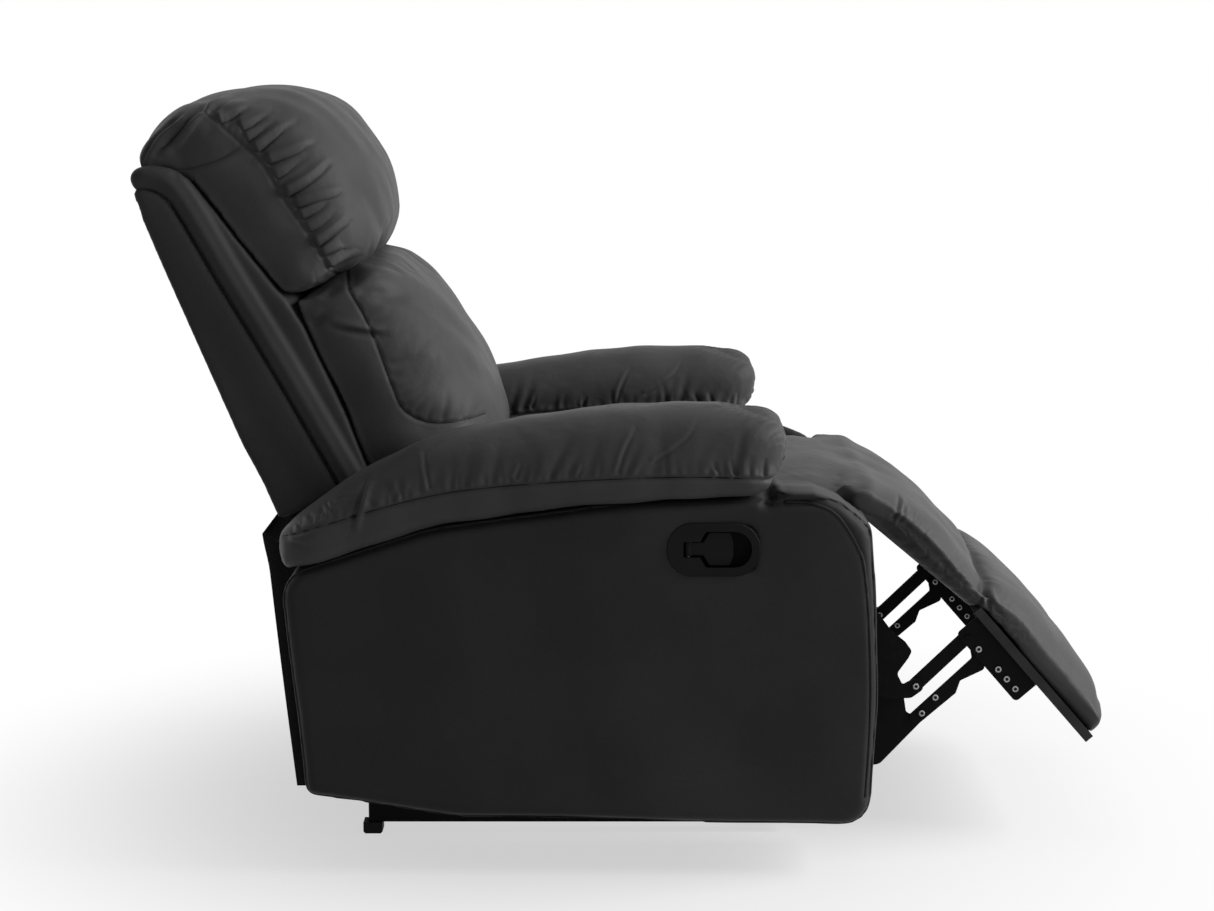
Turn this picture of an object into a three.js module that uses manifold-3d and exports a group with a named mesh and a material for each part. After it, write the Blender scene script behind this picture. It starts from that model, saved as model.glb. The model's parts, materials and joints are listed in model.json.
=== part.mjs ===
// Recliner chair: two rolled arms, a reclining padded back and a footrest carried by steel links.
// Millimetres. +X is the way the chair faces, +Y is the sitter's left, +Z is up, and the floor is z = 0.
// The rest pose has the footrest part of the way up and the back leaned part of the way down.
import * as THREE from 'three';
import { mergeVertices } from 'three/addons/utils/BufferGeometryUtils.js';
import Module from 'manifold-3d';

const wasm = await Module();
wasm.setup();

// Widths across the chair
const inner_width = 500;
const arm_box_width = 135;
const arm_pad_width = 152;
const arm_pad_inset = 5;
const back_width = 480;
const back_pad_width = 464;
const back_core_width = 476;
const seat_width = 480;
const footrest_width = 472;

// Gaps between pieces
const seat_gap = 0.3;
const soft_gap = 0.6;
const pivot_fit = 0.3;
const overrun = 40;

// Colours of the upholstery, the steel, the wood and the plastic
const leather_colour = 0x2b2b2c;
const lit_leather_colour = 0x333334;
const steel_colour = 0x0e0e10;
const zinc_colour = 0x9a9a96;
const wood_colour = 0xb08a5a;
const plastic_colour = 0x121213;
const cloth_colour = 0x101011;

// Where the arm boxes lie, and how far round corners are split
const arm = { rear: -398, length: 732, hem: 62, height: 432, wall: 16, edge: 3 };
const corner_step = Math.PI / 10;
const circle_sides = 12;

// Outline of an arm box seen from the side: share of its length, share of its height, corner radius share
const arm_box_shares = [
  [0.036, 0.09, 0.028], [0.296, 0.023, 0.185], [0.986, 0, 0.079], [1, 0.389, 0.602], [0.981, 1, 0.22],
  [0.828, 1, 0.019], [0.811, 0.954, 0.023], [0.516, 0.926, 0.463], [0.25, 0.866, 0.347],
  [0.093, 0.778, 0.139],
  [0, 0.727, 0.088],
];

// Crown line of an arm pad: share of its length, share of its rise
const arm_pad = { rear: -403, length: 625, foot: 400, rise: 187, lip: 26, end_drop: 46 };
const arm_pad_crown_shares = [
  [0, 0.128], [0.021, 0.219], [0.072, 0.337], [0.176, 0.594], [0.306, 0.781], [0.475, 0.898],
  [0.63, 0.963], [0.787, 1], [0.894, 0.989], [0.965, 0.93], [0.994, 0.834], [1, 0.717],
];

// Points that the moving parts turn about, in the side view
const footrest_axis = { x: 330, z: 446 };
const back_axis = { x: -350, z: 405 };
const tilt_axis = { x: -190, z: 150 };
const rear_link_axis = { x: 264.5, z: 382.3 };
const front_link_axis = { x: 259, z: 360 };
const footrest_angle = THREE.MathUtils.degToRad(48.9);
const back_angle = THREE.MathUtils.degToRad(22.8);

// Steel plates stand in three planes side by side, counted outwards from the first
const plate = { thickness: 3.2, first_plane: 206, pitch: 5.2 };
const pin = { radius: 4.5, head_radius: 6.5, head: 1.1 };

// Seat
const seat = { rear: -276, front: 286, crown: 480, nose_gap: 2.5, nose_low: 0.44, nose_high: 0.71 };
const seat_top_shares = [
  [0.978, 0.971], [0.926, 1], [0.733, 0.928], [0.475, 0.82], [0.34, 0.748], [0.295, 0.66],
  [0.262, 0.44], [0.232, 0.34], [0.131, 0.31], [0.03, 0.28], [0.003, 0.2],
];
const seat_recess = { rear: 138, shoulder: 236, front: 320, high: 407, deep: 12, side_room: 3 };
const seat_frame = { low: 300, height: 45, front: 262, rear: -290, beam: 26, side_thickness: 18 };
const spring = { wire: 3.8, swing: 26, waves: 6, steps: 5, sides: 5 };

const seat_beam_top = seat_frame.low + seat_frame.height;
const seat_floor = seat_beam_top + seat_gap + spring.wire + seat_gap;
const seat_thickness = seat.crown - seat_floor;

// Footrest, along and above the line from its axis
const board = { start: 202, length: 225, under: 8, thickness: 12, width: 468 };
const footrest_pad = { nose: 30, reach: 430, height: 80, heel: 7, heel_start: 30, heel_drop: 22 };
const footrest_pad_shares = [
  [0.03, 0.425], [0.072, 0.51], [0.135, 0.585], [0.2, 0.645], [0.274, 0.669], [0.34, 0.642],
  [0.358, 0.631], [0.379, 0.662], [0.465, 0.838], [0.523, 0.925], [0.588, 0.975], [0.74, 0.975],
  [0.86, 0.938], [0.942, 0.85], [0.981, 0.625], [0.998, 0.35],
];
const bracket = { start: 212, end: 331, depth: 27, flange: 26, flange_thickness: 2.4, corner: 6 };
const upper_pivot = { along: 225.1, above: -19.2 };
const lower_pivot = { along: 245.7, above: -18 };
const rivet_spots = { first: 282.5, pitch: 17.2, count: 3, above: -16, radius: 4.2, head: 1.6 };

// Links
const upper_link = { half_width: 9 };
const stud_share = 0.24;
const lower_link_shares = [
  [-0.161, -0.049, 0.072], [0.431, -0.15, 0.036], [0.577, -0.093, 0.027], [0.858, -0.222, 0.054],
  [1.056, -0.056, 0.055], [1.056, 0.056, 0.055], [0.93, 0.056, 0.03], [0.864, -0.025, 0.036],
  [-0.14, 0.097, 0.072],
];
const rear_link_shares = [
  [-0.066, -0.07, 0.062], [-0.066, 0.066, 0.062], [0.66, 0.075, 0.17], [0.754, 0.101, 0.018],
  [0.82, 0.101, 0.022], [0.842, 0.061, 0.026], [0.877, -0.044, 0.03], [0.95, -0.056, 0.012],
  [0.962, 0.041, 0.026], [1.042, 0.041, 0.039], [1.042, -0.061, 0.039], [0.94, -0.21, 0.08],
  [0.53, -0.15, 0.17],
];
const front_link_shares = [
  [-0.057, -0.06, 0.055], [-0.057, 0.057, 0.055], [0.7, 0.045, 0.1], [0.808, 0.002, 0.06],
  [0.871, -0.02, 0.02], [0.95, -0.062, 0.012], [0.975, -0.055, 0.01], [0.975, 0.03, 0.02],
  [1.03, 0.036, 0.028], [1.096, -0.34, 0.04], [1.065, -0.4, 0.04], [0.61, -0.21, 0.12],
];

// Side plate of the seat, each corner as shares of its length and height, with a radius share
const seat_plate = { rear: -367, length: 649, low: 134, height: 288 };
const seat_plate_shares = [
  [1, 0.93, 0.055], [1, 0.72, 0.055], [0.86, 0.71, 0.07], [0.828, 0.59, 0.07], [0.365, 0.57, 0.1],
  [0.297, 0, 0.05], [0.248, 0, 0.05], [0.223, 0.542, 0.14], [0.103, 0.577, 0.1], [0, 0.88, 0.055],
  [0, 1, 0.058], [0.052, 1, 0.058], [0.103, 0.75, 0.14], [0.797, 0.736, 0.1], [0.935, 0.93, 0.1],
];
const cleat = { rear: -240, front: 150 };
const boss = { radius: 12, rear: -215, front: 100, sink: 6 };

// Base that stands on the floor
const rail = { rear: -311, front: 238, low: 15, height: 25, wall: 2, post: 17, post_height: 55 };
const rail_thickness = 18;
const cross_tube = { front: 212, rear: -290, size: 25, wall: 2 };
const foot = { size: 25, height: 14.7, edge: 2.5, rear_x: -305.5, front_x: 224.5, front_y: 150 };
const tilt_bracket = { half_base: 80, low: 18, eye: 16 };

// Back, up and in front of its axis
const back = { height: 577, rear: -53.5, depth: 306, skin: 10, foot: 40, edge: 2, roll: 5 };
const back_seam_shares = [
  [0.856, 0], [0.847, 0.057], [0.801, 0.123], [0.601, 0.172], [0.383, 0.227], [0.198, 0.266],
  [0.069, 0.292],
];
const back_core_shares = [
  [0.839, 0.227], [0.537, 0.377], [0.506, 0.4], [0.44, 0.42], [0.222, 0.433], [0.05, 0.423],
];
const pillow_shares = [
  [0.864, -0.01], [0.919, 0.038], [0.967, 0.149], [0.991, 0.306], [0.976, 0.502], [0.939, 0.688],
  [0.891, 0.799], [0.816, 0.884], [0.698, 0.93], [0.593, 0.891], [0.537, 0.828], [0.516, 0.757],
  [0.513, 0.6], [0.519, 0.43],
];
const lumbar_shares = [
  [0.499, 0.425], [0.507, 0.567], [0.503, 0.724], [0.489, 0.842], [0.449, 0.891], [0.378, 0.933],
  [0.308, 0.966], [0.241, 0.989], [0.175, 1], [0.104, 0.992], [0.026, 0.969], [-0.031, 0.933],
  [-0.049, 0.874], [-0.045, 0.665], [-0.02, 0.5],
];
const pillow_core_shares = [[0.56, 0.4], [0.93, 0.25]];
const lumbar_core_shares = [[0.04, 0.5], [0.47, 0.5]];
const post = { low: 24, high: 456, rear: -42.5, depth: 22.5, thickness: 24.5, rail_height: 30 };
const back_bracket = { height: 130, half_width: 17 };

// Fabric panel that closes the back of the base
const skirt = { top_x: -434, top: 405, bottom_x: -396, bottom: 76, thickness: 4, wing: 8, wing_front: -352 };
const skirt_wing_shares = [[0, 1], [0.45, 0.94], [1, 0.86], [1, 0.09], [0.6, 0]];

// Release latch in the right arm
const latch = { x: 129, z: 411, width: 114, height: 66, flange: 3, wall: 2.2, depth: 34, edge: 1.2 };
const latch_bowl = { width: 85, height: 48, corner: 4, shift: 5 };
const latch_mouth = { lip: 1, room: 1.2, swing_room: 4 };
const paddle = {
  stem: 18, stem_height: 17, blade: 37, blade_height: 42, thickness: 8, cut: 7, sink: 3, tail: 12,
  corner: 4, bulge: 4, edge: 1,
};
const latch_pin = { radius: 2.2, barrel: 5.6 };
const cable = { radius: 2.6, hole: 5, sides: 8, steps: 36, end_x: 172, end_z: 330 };

// How each padded piece is rounded towards its ends
const seat_form = { crown_share: 0.05, edge_share: 0.34, squareness: 8 };
const footrest_form = { crown_share: 0.04, edge_share: 0.32, squareness: 8 };
const pillow_form = { crown_share: 0.02, edge_share: 0.7, squareness: 3.4, ramp_points: 5 };
const lumbar_form = { crown_share: 0.02, edge_share: 0.68, squareness: 3.8, ramp_points: 3 };

// Basic shapes

function roundedLoop(corners) {
  const loop = [];
  corners.forEach(([x, z, radius = 0], index) => {
    const here = new THREE.Vector2(x, z);
    const before = new THREE.Vector2(...corners[(index + corners.length - 1) % corners.length]);
    const after = new THREE.Vector2(...corners[(index + 1) % corners.length]);
    const back_way = before.sub(here);
    const on_way = after.sub(here);
    const room = 0.47 * Math.min(back_way.length(), on_way.length());
    back_way.normalize();
    on_way.normalize();
    const half = Math.acos(THREE.MathUtils.clamp(back_way.dot(on_way), -1, 1)) / 2;
    const reach = Math.min(radius / Math.tan(half), room);
    const bend = Math.PI - 2 * half;
    if (reach <= 0 || bend < corner_step / 4) {
      loop.push(here);
      return;
    }
    const true_radius = reach * Math.tan(half);
    const middle_way = back_way.clone().add(on_way).normalize();
    const centre = here.clone().addScaledVector(middle_way, reach / Math.cos(half));
    const start = here.clone().addScaledVector(back_way, reach).sub(centre);
    const turn = Math.sign(back_way.cross(on_way)) * -bend;
    const steps = Math.max(1, Math.round(bend / corner_step));
    for (let step = 0; step <= steps; step += 1) {
      const spoke = start.clone().rotateAround(new THREE.Vector2(), turn * step / steps);
      loop.push(centre.clone().add(spoke.setLength(true_radius)));
    }
  });
  return loop;
}

function circleLoop(x, z, radius, sides = circle_sides) {
  return Array.from({ length: sides }, (_, index) => {
    const angle = 2 * Math.PI * index / sides;
    return new THREE.Vector2(x + radius * Math.cos(angle), z + radius * Math.sin(angle));
  });
}

// An outline in the side view, given its thickness from one y to the other
function slab(loop, y_from, y_to, holes = [], edge = 0) {
  const low = Math.min(y_from, y_to);
  const high = Math.max(y_from, y_to);
  const shape = new THREE.Shape(loop);
  shape.holes = holes.map((hole) => new THREE.Path(hole));
  const options = { depth: high - low - 2 * edge, steps: 1, bevelEnabled: edge > 0 };
  Object.assign(options, { bevelSize: edge, bevelOffset: -edge, bevelThickness: edge, bevelSegments: 1 });
  const geometry = new THREE.ExtrudeGeometry(shape, options);
  geometry.rotateX(Math.PI / 2);
  geometry.translate(0, high - edge, 0);
  return geometry;
}

function block(x_from, x_to, y_from, y_to, z_from, z_to) {
  const [width, depth, height] = [x_to - x_from, y_to - y_from, z_to - z_from].map(Math.abs);
  const geometry = new THREE.BoxGeometry(width, depth, height);
  geometry.translate((x_from + x_to) / 2, (y_from + y_to) / 2, (z_from + z_to) / 2);
  return geometry;
}

function rod(x, z, radius, y_from, y_to, sides = circle_sides) {
  const geometry = new THREE.CylinderGeometry(radius, radius, Math.abs(y_to - y_from), sides);
  geometry.translate(x, (y_from + y_to) / 2, z);
  return geometry;
}

function box_loop(x_from, x_to, z_from, z_to) {
  const corners = [[x_from, z_from], [x_to, z_from], [x_to, z_to], [x_from, z_to]];
  return corners.map(([x, z]) => new THREE.Vector2(x, z));
}

// Joins and cuts

function toSolid(geometry) {
  const bare = geometry.clone();
  const unused = Object.keys(bare.attributes).filter((name) => name !== 'position');
  unused.forEach((name) => bare.deleteAttribute(name));
  const merged = mergeVertices(bare);
  const vertProperties = new Float32Array(merged.attributes.position.array);
  const triVerts = new Uint32Array(merged.index.array);
  return new wasm.Manifold(new wasm.Mesh({ numProp: 3, vertProperties, triVerts }));
}

function toGeometry(solid) {
  const { vertProperties, triVerts } = solid.getMesh();
  const geometry = new THREE.BufferGeometry();
  geometry.setAttribute('position', new THREE.Float32BufferAttribute(Array.from(vertProperties), 3));
  geometry.setIndex(Array.from(triVerts));
  return geometry;
}

function joined(first, ...others) {
  return toGeometry(others.reduce((solid, other) => solid.add(toSolid(other)), toSolid(first)));
}

function cut(first, ...others) {
  return toGeometry(others.reduce((solid, other) => solid.subtract(toSolid(other)), toSolid(first)));
}

// Soft shapes

// A closed skin over rings of equal length, with each end closed by the flat ring there
function skinned(rings, flat) {
  const count = rings[0].length;
  const position = rings.flat().flatMap((point) => [point.x, point.y, point.z]);
  const index = [];
  for (let ring = 0; ring + 1 < rings.length; ring += 1) {
    for (let point = 0; point < count; point += 1) {
      const next = (point + 1) % count;
      const a = ring * count + point;
      const b = ring * count + next;
      index.push(a, b, b + count, a, b + count, a + count);
    }
  }
  [0, rings.length - 1].forEach((ring) => {
    const faces = THREE.ShapeUtils.triangulateShape(rings[ring].map(flat), []);
    const clockwise = THREE.ShapeUtils.isClockWise(rings[ring].map(flat));
    const as_found = (ring > 0) !== clockwise;
    faces.forEach(([a, b, c]) => {
      const face = as_found ? [a, b, c] : [a, c, b];
      index.push(...face.map((corner) => ring * count + corner));
    });
  });
  const geometry = new THREE.BufferGeometry();
  geometry.setAttribute('position', new THREE.Float32BufferAttribute(position, 3));
  geometry.setIndex(volume(position, index) < 0 ? index.reverse() : index);
  return geometry;
}

function volume(position, index) {
  let sum = 0;
  const corner = (at) => new THREE.Vector3(position[3 * at], position[3 * at + 1], position[3 * at + 2]);
  for (let at = 0; at < index.length; at += 3) {
    sum += corner(index[at]).dot(corner(index[at + 1]).cross(corner(index[at + 2])));
  }
  return sum;
}

// How far along the half width each ring of a padded piece lies
const padded_station_shares = [0, 0.3, 0.56, 0.76, 0.88, 0.945, 0.985, 1];

// A padded piece: its side outline, fullest in the middle and drawn in towards a core line at its ends.
// The last points of the outline, where it lies on the frame, are held in place.
function padded(loop, width, core_from, core_to, form, held = 0) {
  const mirrored = padded_station_shares.slice(1).reverse().map((share) => -share);
  const stations = [...mirrored, ...padded_station_shares];
  const core = new THREE.Line3(new THREE.Vector3(...core_from, 0), new THREE.Vector3(...core_to, 0));
  const free = loop.length - held;
  const rings = stations.map((share) => {
    const rounding = 1 - Math.sqrt(1 - Math.abs(share) ** form.squareness);
    const drawn = form.crown_share * share ** 2 + form.edge_share * rounding;
    return loop.map((point, index) => {
      const outer = new THREE.Vector3(point.x, point.y, 0);
      const inner = core.closestPointToPoint(outer, true, new THREE.Vector3());
      const from_held = Math.min(index, free - 1 - index);
      const freed = held ? THREE.MathUtils.clamp(from_held / form.ramp_points, 0, 1) : 1;
      outer.lerp(inner, drawn * freed);
      return new THREE.Vector3(outer.x, share * width / 2, outer.y);
    });
  });
  return skinned(rings, (point) => new THREE.Vector2(point.x, point.z));
}

// Smooth line through the given places, sampled evenly
function smoothLine(points, samples) {
  const through = points.map(([x, z]) => new THREE.Vector3(x, z, 0));
  const curve = new THREE.CatmullRomCurve3(through, false, 'centripetal');
  return curve.getSpacedPoints(samples).map((point) => new THREE.Vector2(point.x, point.y));
}

// Height of an outline's upper side at one place along it
function topOf(loop, x) {
  let high = -Infinity;
  loop.forEach((from, index) => {
    const to = loop[(index + 1) % loop.length];
    const inside = (x - from.x) * (x - to.x) <= 0 && from.x !== to.x;
    if (inside) high = Math.max(high, from.y + (to.y - from.y) * (x - from.x) / (to.x - from.x));
  });
  return high;
}

// Materials and nodes

const finish = (color, roughness, metalness) => {
  return () => new THREE.MeshStandardMaterial({ color, roughness, metalness });
};
const leather = finish(leather_colour, 0.48, 0);
const litLeather = finish(lit_leather_colour, 0.42, 0);
const steel = finish(steel_colour, 0.45, 0.6);
const zinc = finish(zinc_colour, 0.35, 0.9);
const wood = finish(wood_colour, 0.8, 0);
const plastic = finish(plastic_colour, 0.5, 0);
const cloth = finish(cloth_colour, 0.95, 0);

function piece(group, name, geometry, material) {
  const mesh = new THREE.Mesh(geometry, material);
  mesh.name = name;
  group.add(mesh);
  return mesh;
}

// The left side is +1 and the right side is -1
const sides = [['left', 1], ['right', -1]];

// Plate planes and pins

function planeInner(plane) {
  return plate.first_plane + plane * plate.pitch;
}

function planeOuter(plane) {
  return planeInner(plane) + plate.thickness;
}

function plateSlab(loop, side, plane, holes = []) {
  return slab(loop, side * planeInner(plane), side * planeOuter(plane), holes);
}

function pinHole(at) {
  return circleLoop(at.x, at.z, pin.radius + pivot_fit);
}

// A pin fixed in the plate of one plane, through the plate of the next plane, with a head beyond it
function pinThrough(at, side, carrier, other) {
  const outwards = other > carrier;
  const half_plate = plate.thickness / 2;
  const from = outwards ? planeOuter(carrier) - half_plate : planeInner(carrier) + half_plate;
  const seat_face = outwards ? planeOuter(other) + pivot_fit : planeInner(other) - pivot_fit;
  const tip = outwards ? seat_face + pin.head : seat_face - pin.head;
  const shank = rod(at.x, at.z, pin.radius, side * from, side * tip);
  const head = rod(at.x, at.z, pin.head_radius, side * seat_face, side * tip);
  return [shank, head];
}

// Frames of the moving parts

const chair = new THREE.Group();
chair.name = 'recliner_chair';
const base = new THREE.Group();
const body = new THREE.Group();
const backrest = new THREE.Group();
const footrest = new THREE.Group();
backrest.position.set(back_axis.x, 0, back_axis.z);
backrest.rotation.y = -back_angle;
footrest.position.set(footrest_axis.x, 0, footrest_axis.z);
footrest.rotation.y = footrest_angle;
chair.add(base, body, backrest, footrest);

// A place on the footrest, seen from the chair
function onFootrest(spot) {
  const along = new THREE.Vector2(Math.cos(footrest_angle), -Math.sin(footrest_angle));
  const above = new THREE.Vector2(Math.sin(footrest_angle), Math.cos(footrest_angle));
  const x = footrest_axis.x + spot.along * along.x + spot.above * above.x;
  const z = footrest_axis.z + spot.along * along.y + spot.above * above.y;
  return { x, z };
}

// Each crank stays parallel to the footrest, so its far pivot follows from the footrest's own pivot
function crankEnd(seat_pivot, footrest_pivot) {
  const far = onFootrest(footrest_pivot);
  return { x: far.x + seat_pivot.x - footrest_axis.x, z: far.z + seat_pivot.z - footrest_axis.z };
}

const upper_end = onFootrest(upper_pivot);
const lower_end = onFootrest(lower_pivot);
const rear_crank_end = crankEnd(rear_link_axis, upper_pivot);
const front_crank_end = crankEnd(front_link_axis, lower_pivot);

// An outline given along and across the line between two pivots
function linkLoop(shares, from, to) {
  const length = Math.hypot(to.x - from.x, to.z - from.z);
  const along = new THREE.Vector2((to.x - from.x) / length, (to.z - from.z) / length);
  const corners = shares.map(([ahead, aside, radius]) => {
    const x = from.x + length * (ahead * along.x - aside * along.y);
    const z = from.z + length * (ahead * along.y + aside * along.x);
    return [x, z, radius * length];
  });
  return roundedLoop(corners);
}

// Base: two rails, two cross tubes, four feet and the brackets that carry the seat

function buildRail(side) {
  const outer_y = side * (plate.first_plane - seat_gap);
  const inner_y = outer_y - side * rail_thickness;
  const top = rail.low + rail.height;
  const post_top = rail.low + rail.post_height;
  const loop = [
    [rail.rear, rail.low], [rail.front, rail.low], [rail.front, top], [rail.rear + rail.post, top],
    [rail.rear + rail.post, post_top], [rail.rear, post_top],
  ].map(([x, z]) => new THREE.Vector2(x, z));
  const hollow_rear = rail.rear + rail.post;
  const hollow_loop = box_loop(hollow_rear, rail.front + overrun, rail.low + rail.wall, top - rail.wall);
  const hollow = slab(hollow_loop, inner_y + side * rail.wall, outer_y - side * rail.wall);
  return cut(slab(loop, inner_y, outer_y), hollow);
}

function buildCrossTube(x) {
  const half = plate.first_plane - seat_gap - rail_thickness - seat_gap;
  const top = rail.low + cross_tube.size;
  const wall = cross_tube.wall;
  const inside = box_loop(x + wall, x + cross_tube.size - wall, rail.low + wall, top - wall);
  return slab(box_loop(x, x + cross_tube.size, rail.low, top), -half, half, [inside]);
}

function buildFoot(x, y) {
  const half = foot.size / 2;
  const loop = roundedLoop([
    [x - half + foot.edge, 0], [x + half - foot.edge, 0], [x + half, foot.edge], [x + half, foot.height],
    [x - half, foot.height], [x - half, foot.edge],
  ]);
  return slab(loop, y - half, y + half);
}

function buildTiltBracket(side) {
  const eye = tilt_bracket.eye;
  const loop = roundedLoop([
    [tilt_axis.x - tilt_bracket.half_base, tilt_bracket.low],
    [tilt_axis.x + tilt_bracket.half_base, tilt_bracket.low],
    [tilt_axis.x + tilt_bracket.half_base, rail.low + rail.height, eye],
    [tilt_axis.x + eye, tilt_axis.z + eye, eye], [tilt_axis.x - eye, tilt_axis.z + eye, eye],
    [tilt_axis.x - tilt_bracket.half_base, rail.low + rail.height, eye],
  ]);
  return joined(plateSlab(loop, side, 0), ...pinThrough(tilt_axis, side, 0, 1));
}

const rail_middle = plate.first_plane - seat_gap - rail_thickness / 2;
piece(base, 'base_front_tube', buildCrossTube(cross_tube.front), steel());
piece(base, 'base_rear_tube', buildCrossTube(cross_tube.rear), steel());
sides.forEach(([name, side]) => {
  piece(base, `base_rail_${name}`, buildRail(side), steel());
  piece(base, `tilt_bracket_${name}`, buildTiltBracket(side), steel());
  piece(base, `foot_rear_${name}`, buildFoot(foot.rear_x, side * rail_middle), plastic());
  piece(base, `foot_front_${name}`, buildFoot(foot.front_x, side * foot.front_y), plastic());
});

// Arms: an upholstered box, open below, and a rolled pad on top

const arm_corners = arm_box_shares.map(([along, up, radius]) => {
  return [arm.rear + along * arm.length, arm.hem + up * arm.height, radius * arm.height];
});
const arm_loop = roundedLoop(arm_corners);
const arm_inner = inner_width / 2;
const arm_outer = arm_inner + arm_box_width;

// The room inside an arm box, a wall's thickness in from its outline and open at the hem
function armRoom(side) {
  const middle = new THREE.Vector2(arm.rear + arm.length / 2, arm.hem + arm.height / 2);
  const x_scale = 1 - 2 * arm.wall / arm.length;
  const z_scale = 1 - 2 * arm.wall / arm.height;
  const loop = arm_loop.map((point) => {
    const x = middle.x + (point.x - middle.x) * x_scale;
    const z = middle.y + (point.y - middle.y) * z_scale;
    return new THREE.Vector2(x, z);
  });
  const room = slab(loop, side * (arm_inner + arm.wall), side * (arm_outer - arm.wall));
  const mouth_rear = arm.rear + arm.length / 10;
  const mouth_front = arm.rear + 9 * arm.length / 10;
  const mouth_loop = box_loop(mouth_rear, mouth_front, arm.hem - overrun, arm.hem + arm.height / 6);
  const mouth = slab(mouth_loop, side * (arm_inner + arm.wall), side * (arm_outer - arm.wall));
  return [room, mouth];
}

function bowlLoop(margin) {
  const half_width = latch_bowl.width / 2 + margin;
  const half_height = latch_bowl.height / 2 + margin;
  const x = latch.x + latch_bowl.shift;
  const radius = latch_bowl.corner + margin;
  return roundedLoop([
    [x - half_width, latch.z - half_height, radius], [x + half_width, latch.z - half_height, radius],
    [x + half_width, latch.z + half_height, radius], [x - half_width, latch.z + half_height, radius],
  ]);
}

function buildArmBox(side) {
  let box = cut(slab(arm_loop, side * arm_inner, side * arm_outer, [], arm.edge), ...armRoom(side));
  if (side < 0) {
    const beyond = side * (arm_outer + overrun);
    const window = slab(bowlLoop(latch.wall + seat_gap), side * (arm_outer - arm.wall - overrun), beyond);
    const [hole_from, hole_to] = [arm_inner - overrun, arm_inner + overrun].map((y) => side * y);
    const cable_hole = rod(cable.end_x, cable.end_z, cable.hole, hole_from, hole_to);
    box = cut(box, window, cable_hole);
  }
  return box;
}

// Shares along the pad where its rings lie, closer together at the round ends
const arm_pad_ring_shares = [0, 0.012, 0.035, 0.075, 0.13, 0.35, 0.6, 0.72, 0.87, 0.925, 0.96, 0.983, 1];
const pad_ring_points = 22;
const pad_end = { share: 0.085, narrow: 0.3, flat: 0.5, closest: 0.01 };

// The pad also has a ring over every corner of the box top, so that it follows the box exactly
function padRingPlaces() {
  const spread = arm_pad_ring_shares.map((share) => arm_pad.rear + share * arm_pad.length);
  const top_points = arm_loop.filter((point) => topOf(arm_loop, point.x) - point.y < seat_gap);
  const on_top = top_points.map((point) => point.x);
  const inside = on_top.filter((x) => x > spread[0] && x < spread.at(-1));
  const closest = pad_end.closest * arm_pad.length;
  const apart = (x) => spread.slice(1, -1).every((other) => Math.abs(other - x) > closest);
  const ends = [spread[0], spread.at(-1)];
  const own = spread.slice(1, -1).filter((x) => inside.every((other) => Math.abs(other - x) > closest));
  const kept = inside.filter((x) => apart(x) || !own.includes(x));
  return [...ends, ...own, ...kept].sort((a, b) => a - b);
}
const pad_roll = { upper: 0.86, lower: 0.3, seam_share: 0.3, seam_depth: 0.035 };

function buildArmPad(side) {
  const crown_places = arm_pad_crown_shares.map(([along, up]) => {
    return [arm_pad.rear + along * arm_pad.length, arm_pad.foot + up * arm_pad.rise];
  });
  const crown = smoothLine(crown_places, 60);
  const middle = side * (arm_inner - arm_pad_inset + arm_pad_width / 2);
  const rings = padRingPlaces().map((x) => {
    const share = (x - arm_pad.rear) / arm_pad.length;
    const to_end = Math.min(share, 1 - share) / pad_end.share;
    const fullness = to_end >= 1 ? 1 : Math.sqrt(1 - (1 - to_end) ** 2);
    const half = arm_pad_width / 2 * (pad_end.narrow + (1 - pad_end.narrow) * fullness);
    const over_box = THREE.MathUtils.clamp(x, arm.rear + arm.length / 90, arm.rear + 89 * arm.length / 90);
    const bed = topOf(arm_loop, over_box) + soft_gap;
    // Rounding may put an end ring a hair past the crown line, so its height is taken at the line's end
    const high = topOf(crown, THREE.MathUtils.clamp(x, crown[0].x, crown.at(-1).x));
    const low = bed + (high - bed) * (1 - fullness) * pad_end.flat;
    return Array.from({ length: pad_ring_points }, (_, index) => {
      const angle = 2 * Math.PI * index / pad_ring_points;
      const power = Math.sin(angle) >= 0 ? pad_roll.upper : pad_roll.lower;
      const across = Math.sign(Math.cos(angle)) * Math.abs(Math.cos(angle)) ** power;
      const up = (1 + Math.sign(Math.sin(angle)) * Math.abs(Math.sin(angle)) ** power) / 2;
      const seam = Math.max(0, 1 - Math.abs(up - pad_roll.seam_share) / 0.12) * pad_roll.seam_depth;
      return new THREE.Vector3(x, middle + half * across * (1 - seam), low + (high - low) * up);
    });
  });
  return skinned(rings, (point) => new THREE.Vector2(point.y, point.z));
}

sides.forEach(([name, side]) => {
  piece(body, `arm_box_${name}`, buildArmBox(side), leather());
  piece(body, `arm_pad_${name}`, buildArmPad(side), litLeather());
});

// Seat: side plates, wooden cleats and beams, wire springs and the cushion

const seat_plate_loop = roundedLoop(seat_plate_shares.map(([along, up, radius]) => {
  const x = seat_plate.rear + along * seat_plate.length;
  return [x, seat_plate.low + up * seat_plate.height, radius * seat_plate.height];
}));

function buildSeatPlate(side) {
  const flat = plateSlab(seat_plate_loop, side, 1, [pinHole(tilt_axis)]);
  const pins = [
    ...pinThrough(rear_link_axis, side, 1, 2),
    ...pinThrough(front_link_axis, side, 1, 0),
    ...pinThrough(back_axis, side, 1, 2),
  ];
  return joined(flat, ...pins);
}

const side_beam_outer = plate.first_plane - 2;

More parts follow.
